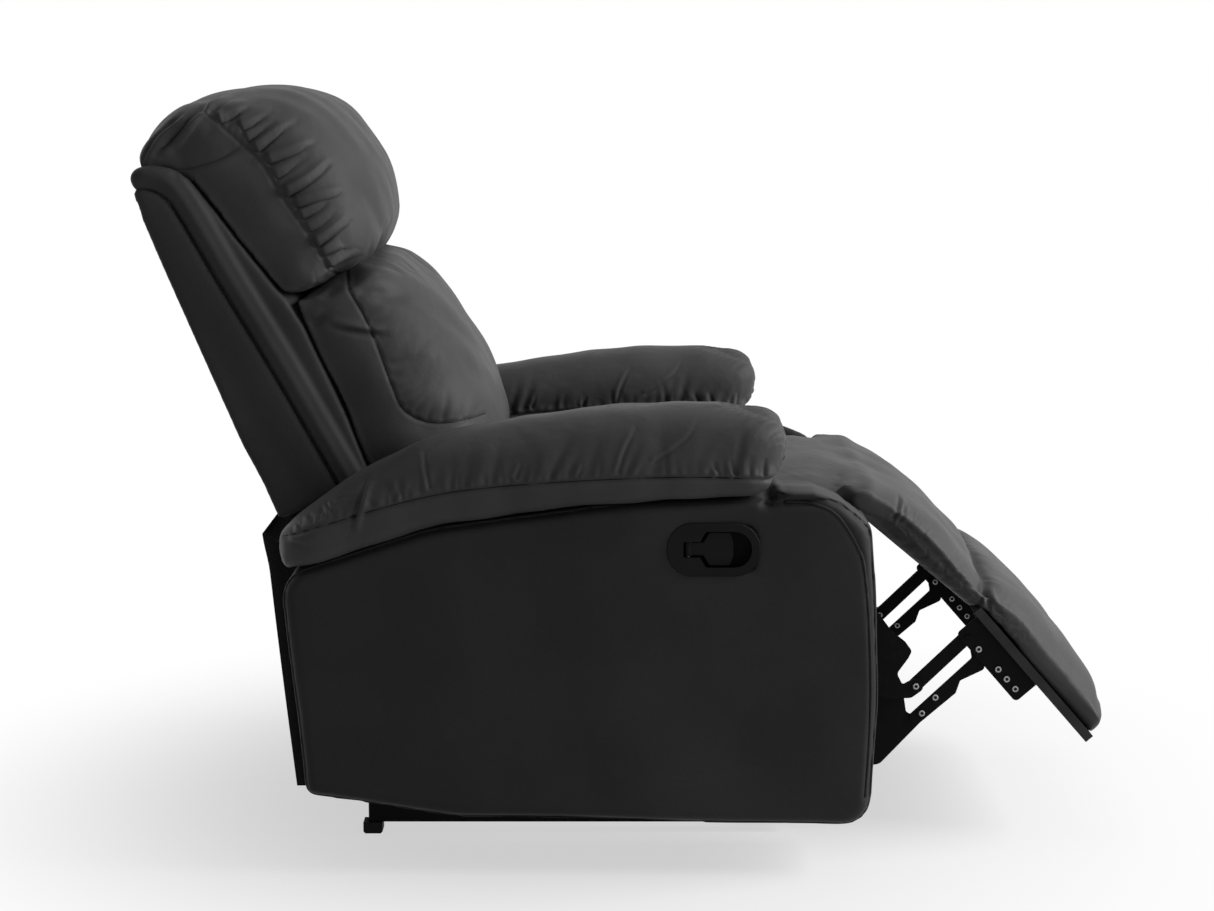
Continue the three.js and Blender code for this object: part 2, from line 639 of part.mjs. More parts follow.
function buildSideBeam(side) {
  const inner = side_beam_outer - seat_frame.side_thickness;
  const [y_from, y_to] = [side * inner, side * side_beam_outer];
  const beam = block(seat_frame.rear, seat_frame.front, y_from, y_to, seat_frame.low, seat_beam_top);
  const bosses = [boss.rear, boss.front].map((x) => {
    const z = seat_frame.low + seat_frame.height / 2;
    return rod(x, z, boss.radius, side * (side_beam_outer - boss.sink), side * (planeInner(1) - seat_gap));
  });
  return joined(beam, ...bosses);
}

function buildSeatBeam(x_from) {
  const half = side_beam_outer - seat_frame.side_thickness - seat_gap;
  return block(x_from, x_from + seat_frame.beam, -half, half, seat_frame.low, seat_beam_top);
}

// A zigzag wire spring along a straight line, its swing to either side following a sine
function buildWire(from, to, swing_way) {
  const steps = spring.waves * spring.steps;
  const points = Array.from({ length: steps + 1 }, (_, index) => {
    const share = index / steps;
    const swing = spring.swing * Math.sin(2 * Math.PI * spring.waves * share);
    return from.clone().lerp(to, share).addScaledVector(swing_way, swing);
  });
  const path = new THREE.CatmullRomCurve3(points);
  const section = new THREE.Shape(circleLoop(0, 0, spring.wire / 2, spring.sides));
  return new THREE.ExtrudeGeometry(section, { steps, extrudePath: path, bevelEnabled: false });
}

function buildSeatCushion() {
  const turn = footrest_pad.nose + seat.nose_gap;
  const length = seat.front + footrest_axis.x - seat.front - turn * Math.sin(seat.nose_high) - seat.rear;
  const top = smoothLine(seat_top_shares.map(([along, up]) => {
    return [seat.rear + along * length, seat_floor + up * seat_thickness];
  }), 22);
  const nose = Array.from({ length: 6 }, (_, index) => {
    const angle = Math.PI / 2 + seat.nose_high + (Math.PI / 2 - seat.nose_high + seat.nose_low) * index / 5;
    const away = new THREE.Vector2(Math.cos(angle), Math.sin(angle)).multiplyScalar(turn);
    return away.add(new THREE.Vector2(footrest_axis.x, footrest_axis.z));
  });
  const low_edge = [
    [seat.rear, seat_floor + seat_thickness / 10], [seat.rear + seat_thickness / 12, seat_floor],
    [seat.front - seat_thickness / 12, seat_floor], [seat.front, seat_floor + seat_thickness / 6],
  ].map(([x, z]) => new THREE.Vector2(x, z));
  const loop = [...top, ...low_edge, ...nose.reverse()];
  const core_z = seat_floor + seat_thickness / 3;
  const core_from = [seat.rear + seat_thickness / 2, core_z];
  const core_to = [seat.front - seat_thickness / 2, core_z];
  const cushion = padded(loop, seat_width, core_from, core_to, seat_form);
  const recess_loop = [
    [seat_recess.rear, seat_floor - seat_recess.deep], [seat_recess.shoulder, seat_recess.high],
    [seat_recess.front, seat_recess.high], [seat_recess.front, seat_floor - seat_recess.deep],
  ].map(([x, z]) => new THREE.Vector2(x, z));
  const inner = plate.first_plane - seat_recess.side_room;
  const recesses = sides.map(([, side]) => slab(recess_loop, side * inner, side * (inner + overrun)));
  return cut(cushion, ...recesses);
}

piece(body, 'seat_front_beam', buildSeatBeam(seat_frame.front - seat_frame.beam), wood());
piece(body, 'seat_rear_beam', buildSeatBeam(seat_frame.rear), wood());
piece(body, 'seat_cushion', buildSeatCushion(), litLeather());
sides.forEach(([name, side]) => {
  const cleat_from = side * (planeOuter(1) + seat_gap);
  const cleat_to = side * (arm_inner - seat_gap);
  piece(body, `seat_plate_${name}`, buildSeatPlate(side), steel());
  piece(body, `seat_side_beam_${name}`, buildSideBeam(side), wood());
  const cleat_bar = block(cleat.rear, cleat.front, cleat_from, cleat_to, seat_frame.low, seat_beam_top);
  piece(body, `arm_cleat_${name}`, cleat_bar, wood());
});

const seat_spring_count = 4;
for (let number = 0; number < seat_spring_count; number += 1) {
  const room = 2 * (side_beam_outer - seat_frame.side_thickness);
  const y = room * ((number + 0.5) / seat_spring_count - 0.5);
  const z = seat_beam_top + seat_gap + spring.wire / 2;
  const from = new THREE.Vector3(seat_frame.rear + seat_frame.beam / 2, y, z);
  const to = new THREE.Vector3(seat_frame.front - seat_frame.beam / 2, y, z);
  piece(body, `seat_spring_${number + 1}`, buildWire(from, to, new THREE.Vector3(0, 1, 0)), zinc());
}

// Fabric panel behind the seat, with a wing at each side that lies along the arm box

function buildSkirt() {
  const half = arm_inner - seat_gap;
  const panel = [
    [skirt.top_x, skirt.top], [skirt.top_x + skirt.thickness, skirt.top],
    [skirt.bottom_x + skirt.thickness, skirt.bottom], [skirt.bottom_x, skirt.bottom],
  ].map(([x, z]) => new THREE.Vector2(x, z));
  const wing = skirt_wing_shares.map(([ahead, up]) => {
    const z = skirt.bottom + up * (skirt.top - skirt.bottom);
    const rear = skirt.bottom_x + up * (skirt.top_x - skirt.bottom_x) + skirt.thickness / 2;
    return new THREE.Vector2(rear + ahead * (skirt.wing_front - rear), z);
  });
  wing.push(new THREE.Vector2(skirt.bottom_x + skirt.thickness / 2, skirt.bottom));
  const wings = sides.map(([, side]) => slab(wing, side * half, side * (half - skirt.wing)));
  return joined(slab(panel, -half, half), ...wings);
}

piece(body, 'back_skirt', buildSkirt(), cloth());

// Release latch: a dished bezel, a pull paddle on an upright pin, and the cable to the seat plate

const latch_side = -1;
const latch_face = latch_side * (arm_outer + seat_gap);
const latch_floor = latch_face - latch_side * latch.depth;

// The mouth in the bezel's face: a slot for the paddle's stem that opens into a round-ended window
function mouthLoop() {
  const rear = bowl_rear + latch_mouth.lip;
  const front = bowl_rear + latch_bowl.width - latch_mouth.lip;
  const half_slot = paddle.stem_height / 2 + latch_mouth.room;
  const half_window = paddle.blade_height / 2 + latch_mouth.room;
  const step = hinge_x + paddle.stem - latch_mouth.swing_room;
  const half = [
    [rear, half_slot, latch.edge], [step, half_slot], [step + paddle.cut, half_window, paddle.corner],
    [front, half_window, half_window],
  ];
  return roundedLoop([
    ...half.map(([x, height, radius = 0]) => [x, latch.z - height, radius]),
    ...half.reverse().map(([x, height, radius = 0]) => [x, latch.z + height, radius]),
  ]);
}

function buildBezel() {
  const half_width = latch.width / 2;
  const half_height = latch.height / 2;
  const flange_loop = roundedLoop([
    [latch.x - half_width, latch.z - half_height, half_height],
    [latch.x + half_width, latch.z - half_height, half_height],
    [latch.x + half_width, latch.z + half_height, half_height],
    [latch.x - half_width, latch.z + half_height, half_height],
  ]);
  const flange = slab(flange_loop, latch_face, latch_face + latch_side * latch.flange, [], latch.edge);
  const bowl = slab(bowlLoop(latch.wall), latch_face + latch_side * latch.flange / 2, latch_floor);
  const room = slab(bowlLoop(0), latch_face, latch_floor + latch_side * latch.wall);
  const mouth = slab(mouthLoop(), latch_face + latch_side * overrun, latch_face - latch_side * latch_mouth.lip);
  return cut(joined(flange, bowl), room, mouth);
}

const bowl_rear = latch.x + latch_bowl.shift - latch_bowl.width / 2;
const hinge_x = bowl_rear + latch_mouth.lip + latch_mouth.room / 2 + latch_pin.barrel;
const hinge_y = latch_face - latch_side * (paddle.sink + paddle.thickness / 2);

function buildPaddle() {
  const stem_end = hinge_x + paddle.stem;
  const half_stem = paddle.stem_height / 2;
  const half_blade = paddle.blade_height / 2;
  const blade_end = stem_end + paddle.blade;
  const half = [
    [hinge_x, half_stem], [stem_end, half_stem], [stem_end + paddle.cut, half_blade, paddle.corner],
    [blade_end - paddle.bulge, half_blade, paddle.corner], [blade_end, half_stem, paddle.corner],
  ];
  const loop = roundedLoop([
    ...half.map(([x, height, radius = 0]) => [x, latch.z - height, radius]),
    ...half.reverse().map(([x, height, radius = 0]) => [x, latch.z + height, radius]),
  ]);
  const outer = latch_face - latch_side * paddle.sink;
  const blade = slab(loop, outer, outer - latch_side * paddle.thickness, [], paddle.edge);
  const { barrel: barrel_radius } = latch_pin;
  const barrel = new THREE.CylinderGeometry(barrel_radius, barrel_radius, paddle.stem_height, circle_sides);
  barrel.rotateX(Math.PI / 2);
  barrel.translate(hinge_x, hinge_y, latch.z);
  const tail_from = hinge_y;
  const tail_to = hinge_y - latch_side * paddle.tail;
  const [tail_rear, tail_front] = [hinge_x - latch_pin.radius, hinge_x + latch_pin.radius];
  const tail = block(tail_rear, tail_front, tail_from, tail_to, latch.z - half_stem, latch.z + half_stem);
  const bore_radius = latch_pin.radius + pivot_fit;
  const bore = new THREE.CylinderGeometry(bore_radius, bore_radius, latch.height, circle_sides);
  bore.rotateX(Math.PI / 2);
  bore.translate(hinge_x, hinge_y, latch.z);
  return cut(joined(blade, barrel, tail), bore);
}

function buildLatchPin() {
  const length = latch_bowl.height - 2 * seat_gap;
  const geometry = new THREE.CylinderGeometry(latch_pin.radius, latch_pin.radius, length, circle_sides);
  geometry.rotateX(Math.PI / 2);
  geometry.translate(hinge_x, hinge_y, latch.z);
  return geometry;
}

function buildCable() {
  const start = latch_floor - latch_side * seat_gap;
  const wall_y = latch_side * arm_inner;
  const end = latch_side * (planeOuter(1) + seat_gap);
  const fall = latch.z - cable.end_z;
  const points = [
    [latch.x, start, latch.z], [latch.x, start - latch_side * fall / 5, latch.z],
    [latch.x + fall / 6, start - latch_side * fall / 2, latch.z - fall / 4],
    [cable.end_x - fall / 9, wall_y + latch_side * fall / 2, cable.end_z + fall / 6],
    [cable.end_x, wall_y + latch_side * fall / 6, cable.end_z], [cable.end_x, end, cable.end_z],
  ].map(([x, y, z]) => new THREE.Vector3(x, y, z));
  const path = new THREE.CatmullRomCurve3(points);
  const section = new THREE.Shape(circleLoop(0, 0, cable.radius, cable.sides));
  return new THREE.ExtrudeGeometry(section, { steps: cable.steps, extrudePath: path, bevelEnabled: false });
}

piece(body, 'latch_bezel', buildBezel(), plastic());
piece(body, 'latch_pin', buildLatchPin(), zinc());
piece(body, 'latch_paddle', buildPaddle(), plastic());
piece(body, 'release_cable', buildCable(), plastic());

// Back: an upholstered shell round a wooden frame, its foam core, the lumbar cushion and the head pillow

function backPlace([up, ahead]) {
  return [back.rear + ahead * back.depth, up * back.height];
}

const seam_line = back_seam_shares.map(backPlace);
const core_line = back_core_shares.map(backPlace);

function backLoop(places) {
  return places.map(([x, z]) => new THREE.Vector2(x, z));
}

function buildShell() {
  const loop = backLoop([...seam_line, [back.rear, back.foot]]);
  const half_room = planeOuter(2) + seat_gap + pin.head;
  const room_loop = box_loop(back.rear + back.skin, back.rear + back.depth, -overrun, post.high + seat_gap);
  const room = slab(room_loop, -half_room, half_room);
  return cut(slab(loop, -back_width / 2, back_width / 2, [], back.edge), room);
}

function buildCore() {
  const rear = seam_line.slice(1).map(([x, z]) => [x + soft_gap, z]);
  const loop = backLoop([...rear, ...[...core_line].reverse()]);
  return slab(loop, -back_core_width / 2, back_core_width / 2, [], back.roll);
}

function buildPillow() {
  const front = smoothLine(pillow_shares.map(backPlace), 30);
  const [core_top, core_bend] = core_line;
  const touch = [
    [core_bend[0] + seat_gap, core_bend[1] + seat_gap], [core_top[0] + seat_gap, core_top[1] + soft_gap],
    [seam_line[1][0], seam_line[0][1] + 2 * soft_gap],
  ];
  const loop = [...front, ...backLoop(touch)];
  const [core_from, core_to] = pillow_core_shares.map(backPlace);
  return padded(loop, back_pad_width, core_from, core_to, pillow_form, touch.length);
}

function buildLumbar() {
  const front = smoothLine(lumbar_shares.map(backPlace), 30);
  const touch = core_line.slice(3).reverse().map(([x, z]) => [x + seat_gap, z]);
  const loop = [...front, ...backLoop(touch)];
  const [core_from, core_to] = lumbar_core_shares.map(backPlace);
  return padded(loop, back_pad_width, core_from, core_to, lumbar_form, touch.length);
}

function buildPost(side) {
  const outer = planeInner(2) - seat_gap;
  const [y_from, y_to] = [side * outer, side * (outer - post.thickness)];
  return block(post.rear, post.rear + post.depth, y_from, y_to, post.low, post.high);
}

function buildBackRail(z_from) {
  const half = planeInner(2) - seat_gap - post.thickness - seat_gap;
  return block(post.rear, post.rear + post.depth, -half, half, z_from, z_from + post.rail_height);
}

function buildBackBracket(side) {
  const middle = post.rear + post.depth / 2;
  const half = back_bracket.half_width;
  const loop = roundedLoop([
    [-half, -half, half], [half, -half, half], [half, post.low, half],
    [middle + post.depth / 2, 2 * post.low, half], [middle + post.depth / 2, back_bracket.height, half / 3],
    [middle - post.depth / 2, back_bracket.height, half / 3],
    [middle - post.depth / 2, post.low, half],
  ]);
  return plateSlab(loop, side, 2, [pinHole({ x: 0, z: 0 })]);
}

piece(backrest, 'back_shell', buildShell(), leather());
piece(backrest, 'back_core', buildCore(), leather());
piece(backrest, 'head_pillow', buildPillow(), litLeather());
piece(backrest, 'lumbar_cushion', buildLumbar(), litLeather());
piece(backrest, 'back_top_rail', buildBackRail(post.high - post.rail_height), wood());
piece(backrest, 'back_bottom_rail', buildBackRail(post.low + post.rail_height / 2), wood());
sides.forEach(([name, side]) => {
  piece(backrest, `back_post_${name}`, buildPost(side), wood());
  piece(backrest, `back_bracket_${name}`, buildBackBracket(side), steel());
});

const back_spring_count = 3;
for (let number = 0; number < back_spring_count; number += 1) {
  const room = 2 * (planeInner(2) - post.thickness);
  const y = room * ((number + 0.5) / back_spring_count - 0.5);
  const x = post.rear + post.depth + seat_gap + spring.wire / 2;
  const from = new THREE.Vector3(x, y, post.low + post.rail_height);
  const to = new THREE.Vector3(x, y, post.high - post.rail_height / 2);
  piece(backrest, `back_spring_${number + 1}`, buildWire(from, to, new THREE.Vector3(0, 1, 0)), zinc());
}

// Footrest: a board, its pad and a bracket at each side that the links carry

function buildBoard() {
  const top = board.under + board.thickness;
  const loop = box_loop(board.start, board.start + board.length, board.under, top);
  return slab(loop, -board.width / 2, board.width / 2);
}

function buildFootrestPad() {
  const top = smoothLine(footrest_pad_shares.map(([along, up]) => {
    return [along * footrest_pad.reach, up * footrest_pad.height];
  }), 26);
  const bed = board.under + board.thickness + seat_gap;
  const under = [
    [board.start + board.length, bed], [board.start - soft_gap, bed],
    [board.start - soft_gap, footrest_pad.heel],
    [footrest_pad.heel_start, -footrest_pad.heel_drop],
  ].map(([x, z]) => new THREE.Vector2(x, z));
  const nose_steps = 12;
  const nose_from = Math.atan2(-footrest_pad.heel_drop, footrest_pad.heel_start) - Math.PI / 10;
  const [first_along, first_up] = footrest_pad_shares[0];
  const nose_to = Math.atan2(first_up * footrest_pad.height, first_along * footrest_pad.reach);
  const sweep = nose_to - 2 * Math.PI + Math.PI / 10 - nose_from;
  const nose = Array.from({ length: nose_steps + 1 }, (_, index) => {
    const angle = nose_from + sweep * index / nose_steps;
    return new THREE.Vector2(footrest_pad.nose * Math.cos(angle), footrest_pad.nose * Math.sin(angle));
  });
  const loop = [...top, ...under, ...nose];
  const core_z = board.under + board.thickness + footrest_pad.height / 5;
  const core_from = [footrest_pad.nose / 3, bed];
  const core_to = [board.start + 0.86 * board.length, core_z];
  return padded(loop, footrest_width, core_from, core_to, footrest_form);
}

function rivetHead({ x, z }, side, plane) {
  const outer = planeOuter(plane) + rivet_spots.head;
  return rod(x, z, rivet_spots.radius, side * planeInner(plane), side * outer);
}

function buildBracket(side) {
  const top = board.under - seat_gap;
  const loop = roundedLoop([
    [bracket.start, top], [bracket.start, -bracket.depth, bracket.corner],
    [bracket.end, -bracket.depth, bracket.corner], [bracket.end, top],
  ]);
  const web = plateSlab(loop, side, 2);
  const flange_loop = box_loop(bracket.start, bracket.end, top - bracket.flange_thickness, top);
  const flange = slab(flange_loop, side * planeOuter(2), side * (planeOuter(2) - bracket.flange));
  const pivots = [upper_pivot, lower_pivot].map((spot) => ({ x: spot.along, z: spot.above }));
  const pins = pivots.flatMap((spot) => pinThrough(spot, side, 2, 1));
  const rivets = Array.from({ length: rivet_spots.count }, (_, index) => {
    return { x: rivet_spots.first + index * rivet_spots.pitch, z: rivet_spots.above };
  });
  const heads = [...pivots, ...rivets].map((spot) => rivetHead(spot, side, 2));
  return joined(web, flange, ...pins, ...heads);
}

piece(footrest, 'footrest_board', buildBoard(), wood());
piece(footrest, 'footrest_pad', buildFootrestPad(), litLeather());
sides.forEach(([name, side]) => piece(footrest, `footrest_bracket_${name}`, buildBracket(side), steel()));

// Links between the seat plates and the footrest brackets

function buildUpperLink(side) {
  const length = Math.hypot(upper_end.x - rear_crank_end.x, upper_end.z - rear_crank_end.z);
  const end_share = upper_link.half_width / length;
  const shares = [
    [-end_share, -end_share, end_share], [1 + end_share, -end_share, end_share],
    [1 + end_share, end_share, end_share], [-end_share, end_share, end_share],
  ];
  const loop = linkLoop(shares, rear_crank_end, upper_end);
  return plateSlab(loop, side, 1, [pinHole(rear_crank_end), pinHole(upper_end)]);
}

function buildLowerLink(side) {
  const loop = linkLoop(lower_link_shares, front_crank_end, lower_end);
  const x = front_crank_end.x + stud_share * (lower_end.x - front_crank_end.x);
  const z = front_crank_end.z + stud_share * (lower_end.z - front_crank_end.z);
  const flat = plateSlab(loop, side, 1, [pinHole(front_crank_end), pinHole(lower_end)]);
  return joined(flat, rivetHead({ x, z }, side, 1));
}

function buildRearLink(side) {
  const loop = linkLoop(rear_link_shares, rear_link_axis, rear_crank_end);
  const flat = plateSlab(loop, side, 2, [pinHole(rear_link_axis)]);
  return joined(flat, rivetHead(rear_crank_end, side, 2), ...pinThrough(rear_crank_end, side, 2, 1));
}

function buildFrontLink(side) {
  const loop = linkLoop(front_link_shares, front_link_axis, front_crank_end);
  const flat = plateSlab(loop, side, 0, [pinHole(front_link_axis)]);
  return joined(flat, ...pinThrough(front_crank_end, side, 0, 1));
}

sides.forEach(([name, side]) => {
  piece(chair, `upper_link_${name}`, buildUpperLink(side), steel());
  piece(chair, `lower_link_${name}`, buildLowerLink(side), steel());
  piece(chair, `rear_link_${name}`, buildRearLink(side), steel());
  piece(chair, `front_link_${name}`, buildFrontLink(side), steel());
});

// The chair's origin is under the middle of its outline, on the floor
const extent = new THREE.Box3().setFromObject(chair, true);
const centre = extent.getCenter(new THREE.Vector3());
const model = new THREE.Group();
chair.position.set(-centre.x, -centre.y, -extent.min.z);
model.add(chair);

export default model;
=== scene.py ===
# %% [markdown]
# # A recliner chair, dressed in Blender
#
# The CAD solids give the chair its sizes and its joints. This script covers them with what
# the eye sees: filled leather cushions with gathered seams, smooth panels with piping, painted
# steel, sprung wire, wood and moulded plastic. Every length is in metres, in the frame of the CAD.

# %% Load the frame
import json
import math

import bmesh
import bpy
import numpy as np
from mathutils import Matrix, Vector
from mathutils.bvhtree import BVHTree


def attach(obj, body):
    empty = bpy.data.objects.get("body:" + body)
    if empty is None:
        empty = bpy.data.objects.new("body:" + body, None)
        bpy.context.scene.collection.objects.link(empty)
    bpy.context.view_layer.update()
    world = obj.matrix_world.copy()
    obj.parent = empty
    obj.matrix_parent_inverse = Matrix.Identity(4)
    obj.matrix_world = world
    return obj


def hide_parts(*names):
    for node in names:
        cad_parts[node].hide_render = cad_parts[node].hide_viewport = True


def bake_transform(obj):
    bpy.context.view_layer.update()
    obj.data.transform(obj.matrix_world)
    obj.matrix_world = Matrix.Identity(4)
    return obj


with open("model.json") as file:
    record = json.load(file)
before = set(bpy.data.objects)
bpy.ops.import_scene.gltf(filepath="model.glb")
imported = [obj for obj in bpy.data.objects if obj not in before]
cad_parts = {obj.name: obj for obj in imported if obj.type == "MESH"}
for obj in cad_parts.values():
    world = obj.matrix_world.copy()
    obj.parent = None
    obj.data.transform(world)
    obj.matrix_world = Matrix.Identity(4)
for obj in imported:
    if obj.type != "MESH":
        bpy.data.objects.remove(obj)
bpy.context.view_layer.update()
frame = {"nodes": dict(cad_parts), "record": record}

joint_place = {joint["name"]: joint["pos_m"] for joint in frame["record"]["behaviour"]["joints"]}

# %% [markdown]
# ## Camera
#
# The photograph is a square side view from a little above, taken from far away. The camera looks
# along +Y, pitched down, and its focal length is the one at which both arms, the foot and the tip
# of the footrest fall on their places in the picture.

# %% Camera
camera_distance = 3.4
camera_pitch = math.radians(8.7)
camera_target = Vector((-0.026, 0, 0.4672))
focal_pixels = 2500
picture_width = 1214

camera_data = bpy.data.cameras.new("camera")
camera_data.sensor_width = 36
camera_data.lens = focal_pixels / picture_width * camera_data.sensor_width
camera = bpy.data.objects.new("camera", camera_data)
bpy.context.collection.objects.link(camera)
camera_way = Vector((0, -math.cos(camera_pitch), math.sin(camera_pitch)))
camera.location = camera_target + camera_way * camera_distance
camera.rotation_euler = (math.pi / 2 - camera_pitch, 0, 0)
bpy.context.scene.camera = camera
print("camera at", [round(place, 3) for place in camera.location])

# %% [markdown]
# ## Colours and nodes
#
# Colours are written as the eye reads them on a screen and turned to linear light by one function.
# One small function adds a shader node, sets it and links it.

# %% Colour and node helpers
def linear(hex_colour):
    """A screen colour such as '#2e2e2e' as linear red, green, blue and alpha"""
    parts = [int(hex_colour[at : at + 2], 16) / 255 for at in (1, 3, 5)]
    return [part / 12.92 if part < 0.04045 else ((part + 0.055) / 1.055) ** 2.4 for part in parts] + [1]


def set_inputs(owner, node, inputs):
    """Sets a node's inputs, or links them where the value is another node's socket"""
    for socket, value in inputs.items():
        if isinstance(value, bpy.types.NodeSocket):
            owner.node_tree.links.new(value, node.inputs[socket])
        else:
            node.inputs[socket].default_value = value


def add_node(owner, kind, inputs=None, stops=(), **settings):
    """Adds a node, sets its fields and colour stops, and sets or links its inputs"""
    node = owner.node_tree.nodes.new(kind)
    for field, value in settings.items():
        setattr(node, field, value)
    for at, (share, hex_colour) in enumerate(stops):
        elements = node.color_ramp.elements
        element = elements[at] if at < len(elements) else elements.new(share)
        element.position, element.color = share, linear(hex_colour)
    set_inputs(owner, node, inputs or {})
    return node


def cleared(owner):
    """A material or a world with nodes switched on and none in it yet"""
    owner.use_nodes = True
    owner.node_tree.nodes.clear()
    return owner


def new_material(name):
    """A material, its surface shader and its object coordinates"""
    material = cleared(bpy.data.materials.new(name))
    shader = add_node(material, "ShaderNodeBsdfPrincipled")
    add_node(material, "ShaderNodeOutputMaterial", {"Surface": shader.outputs["BSDF"]})
    return material, shader, add_node(material, "ShaderNodeTexCoord").outputs["Object"]


# %% [markdown]
# ## Floor, backdrop and light
#
# The photograph shows the chair cut out on white, lit by a large soft lamp in front of it and
# above. A pale floor keeps a soft shadow near the chair and fades to white further out.

# %% Rays that show the backdrop
def seen_directly(owner):
    """1 for rays from the camera and for those that it sees in metal, gloss or glass; 0 for light"""
    path = add_node(owner, "ShaderNodeLightPath").outputs
    mirrored = add_node(
        owner, "ShaderNodeMath", {0: path["Is Glossy Ray"], 1: path["Is Transmission Ray"]}, operation="MAXIMUM"
    )
    return add_node(
        owner, "ShaderNodeMath", {0: path["Is Camera Ray"], 1: mirrored.outputs["Value"]}, operation="MAXIMUM"
    ).outputs["Value"]


# %% Floor
bpy.ops.object.select_all(action="DESELECT")
bpy.ops.mesh.primitive_grid_add(x_subdivisions=2, y_subdivisions=2, size=30)
floor = bpy.context.object
floor.name = "floor"

floor_material = cleared(bpy.data.materials.new("pale studio floor"))
# The floor fades to white between these distances from the middle, in metres
fade_start, fade_end, least_white = 0.35, 1.1, 0.6
floor_place = add_node(floor_material, "ShaderNodeTexCoord").outputs["Object"]
floor_reach = add_node(floor_material, "ShaderNodeVectorMath", {0: floor_place}, operation="LENGTH").outputs["Value"]
floor_fade = add_node(
    floor_material, "ShaderNodeMapRange",
    {"Value": floor_reach, "From Min": fade_start, "From Max": fade_end, "To Min": least_white},
    interpolation_type="SMOOTHSTEP",
).outputs["Result"]
floor_seen = add_node(
    floor_material, "ShaderNodeMath", {0: floor_fade, 1: seen_directly(floor_material)}, operation="MULTIPLY"
).outputs["Value"]
floor_matt = add_node(floor_material, "ShaderNodeBsdfDiffuse", {"Color": linear("#e2e2e2")})
floor_white = add_node(floor_material, "ShaderNodeEmission", {"Color": linear("#ffffff"), "Strength": 1.0})
floor_mix = add_node(
    floor_material, "ShaderNodeMixShader", {0: floor_seen, 1: floor_matt.outputs[0], 2: floor_white.outputs[0]}
)
add_node(floor_material, "ShaderNodeOutputMaterial", {"Surface": floor_mix.outputs[0]})
floor.data.materials.append(floor_material)

# %% World: white for the camera, a low even fill for everything else
world = cleared(bpy.data.worlds.new("studio"))
bpy.context.scene.world = world
fill_level = 0.035
world_seen = add_node(
    world, "ShaderNodeMapRange", {"Value": seen_directly(world), "To Min": fill_level, "To Max": 1.0}
).outputs["Result"]
world_light = add_node(world, "ShaderNodeBackground", {"Color": linear("#ffffff"), "Strength": world_seen})
add_node(world, "ShaderNodeOutputWorld", {"Surface": world_light.outputs[0]})


# %% Lamps
def add_lamp(name, place, towards, size, power):
    """A square soft lamp that looks from one point to another"""
    data = bpy.data.lights.new(name, "AREA")
    data.size = size
    data.energy = power
    lamp = bpy.data.objects.new(name, data)
    bpy.context.collection.objects.link(lamp)
    lamp.location = place
    lamp.rotation_euler = (Vector(towards) - Vector(place)).to_track_quat("-Z", "Y").to_euler()


chair_middle = (0, 0, 0.45)
add_lamp("front lamp", (2.7, -0.34, 1.75), chair_middle, 1.8, 120)
add_lamp("overhead lamp", (0.1, 0.3, 3.1), chair_middle, 2.0, 12)
add_lamp("camera side fill", (0.6, -3.2, 1.3), chair_middle, 2.2, 6)
bpy.context.scene.view_settings.view_transform = "Standard"

# %% [markdown]
# ## Leather
#
# The cover is corrected grain leather: cowhide that is sanded, coated with pigment and pressed
# with a fine pebble grain. The coat gives a soft, even gloss, and the filled parts crease. Fine
# cells about a millimetre across make the grain, longer and softer noise makes the crumple, and a
# slow change of tone keeps the colour from looking painted. Folds get painted shade: their colour
# is darkened by how deep they are pressed in.

# %% Leather
grain_mm, grain_depth, leather_roughness = 1.3, 0.00012, 0.54


def leather(name, dark, light, crumple_mm=26, crumple_depth=0.0008, gloss=0.15):
    """Pigmented leather with pressed grain, a soft crumple and painted shade in its folds"""
    material, shader, place = new_material(name)
    tone = add_node(material, "ShaderNodeTexNoise", {"Vector": place, "Scale": 7.0, "Detail": 4.0}).outputs["Fac"]
    # Painted shade: how deep a point lies in a fold darkens its colour towards #101010
    fold = add_node(material, "ShaderNodeAttribute", attribute_name="fold").outputs["Fac"]
    base = add_node(material, "ShaderNodeValToRGB", {"Fac": tone}, [(0.32, dark), (0.7, light)]).outputs["Color"]
    painted_fold_shade = add_node(
        material, "ShaderNodeMix", {"Factor": fold, "A": base, "B": linear("#101010")}, data_type="RGBA"
    ).outputs["Result"]
    grain = add_node(
        material, "ShaderNodeTexVoronoi", {"Vector": place, "Scale": 1000 / grain_mm, "Randomness": 1.0},
        feature="F1",
    ).outputs["Distance"]
    crumple = add_node(
        material, "ShaderNodeTexNoise",
        {"Vector": place, "Scale": 1000 / crumple_mm, "Detail": 5.0, "Roughness": 0.55, "Distortion": 0.6},
    ).outputs["Fac"]
    soft_bump = add_node(material, "ShaderNodeBump", {"Height": crumple, "Distance": crumple_depth, "Strength": 1.0})
    fine_bump = add_node(
        material, "ShaderNodeBump",
        {"Height": grain, "Distance": grain_depth, "Strength": 0.8, "Normal": soft_bump.outputs["Normal"]},
    )
    rough = add_node(
        material, "ShaderNodeMapRange",
        {"Value": crumple, "To Min": leather_roughness - 0.06, "To Max": leather_roughness + 0.1},
    ).outputs["Result"]
    set_inputs(material, shader, {
        "Base Color": painted_fold_shade, "Roughness": rough, "Normal": fine_bump.outputs["Normal"], "Specular IOR Level": gloss,
    })
    return material


# One leather in three copies: the panel copy is painted darker, as painted shade on the arm boxes' sides, and the back
# copy keeps the pads' lighter colour as painted light on the back shell and welt
pad_leather = leather("leather on the filled pads", "#383838", "#424242")
panel_leather = leather("leather on the stretched panels, painted darker", "#2b2b2b", "#343434", 60, 0.0006, 0.08)
lit_back_leather = leather("leather on the back panels, painted lighter", "#383838", "#424242", 60, 0.0006, 0.08)


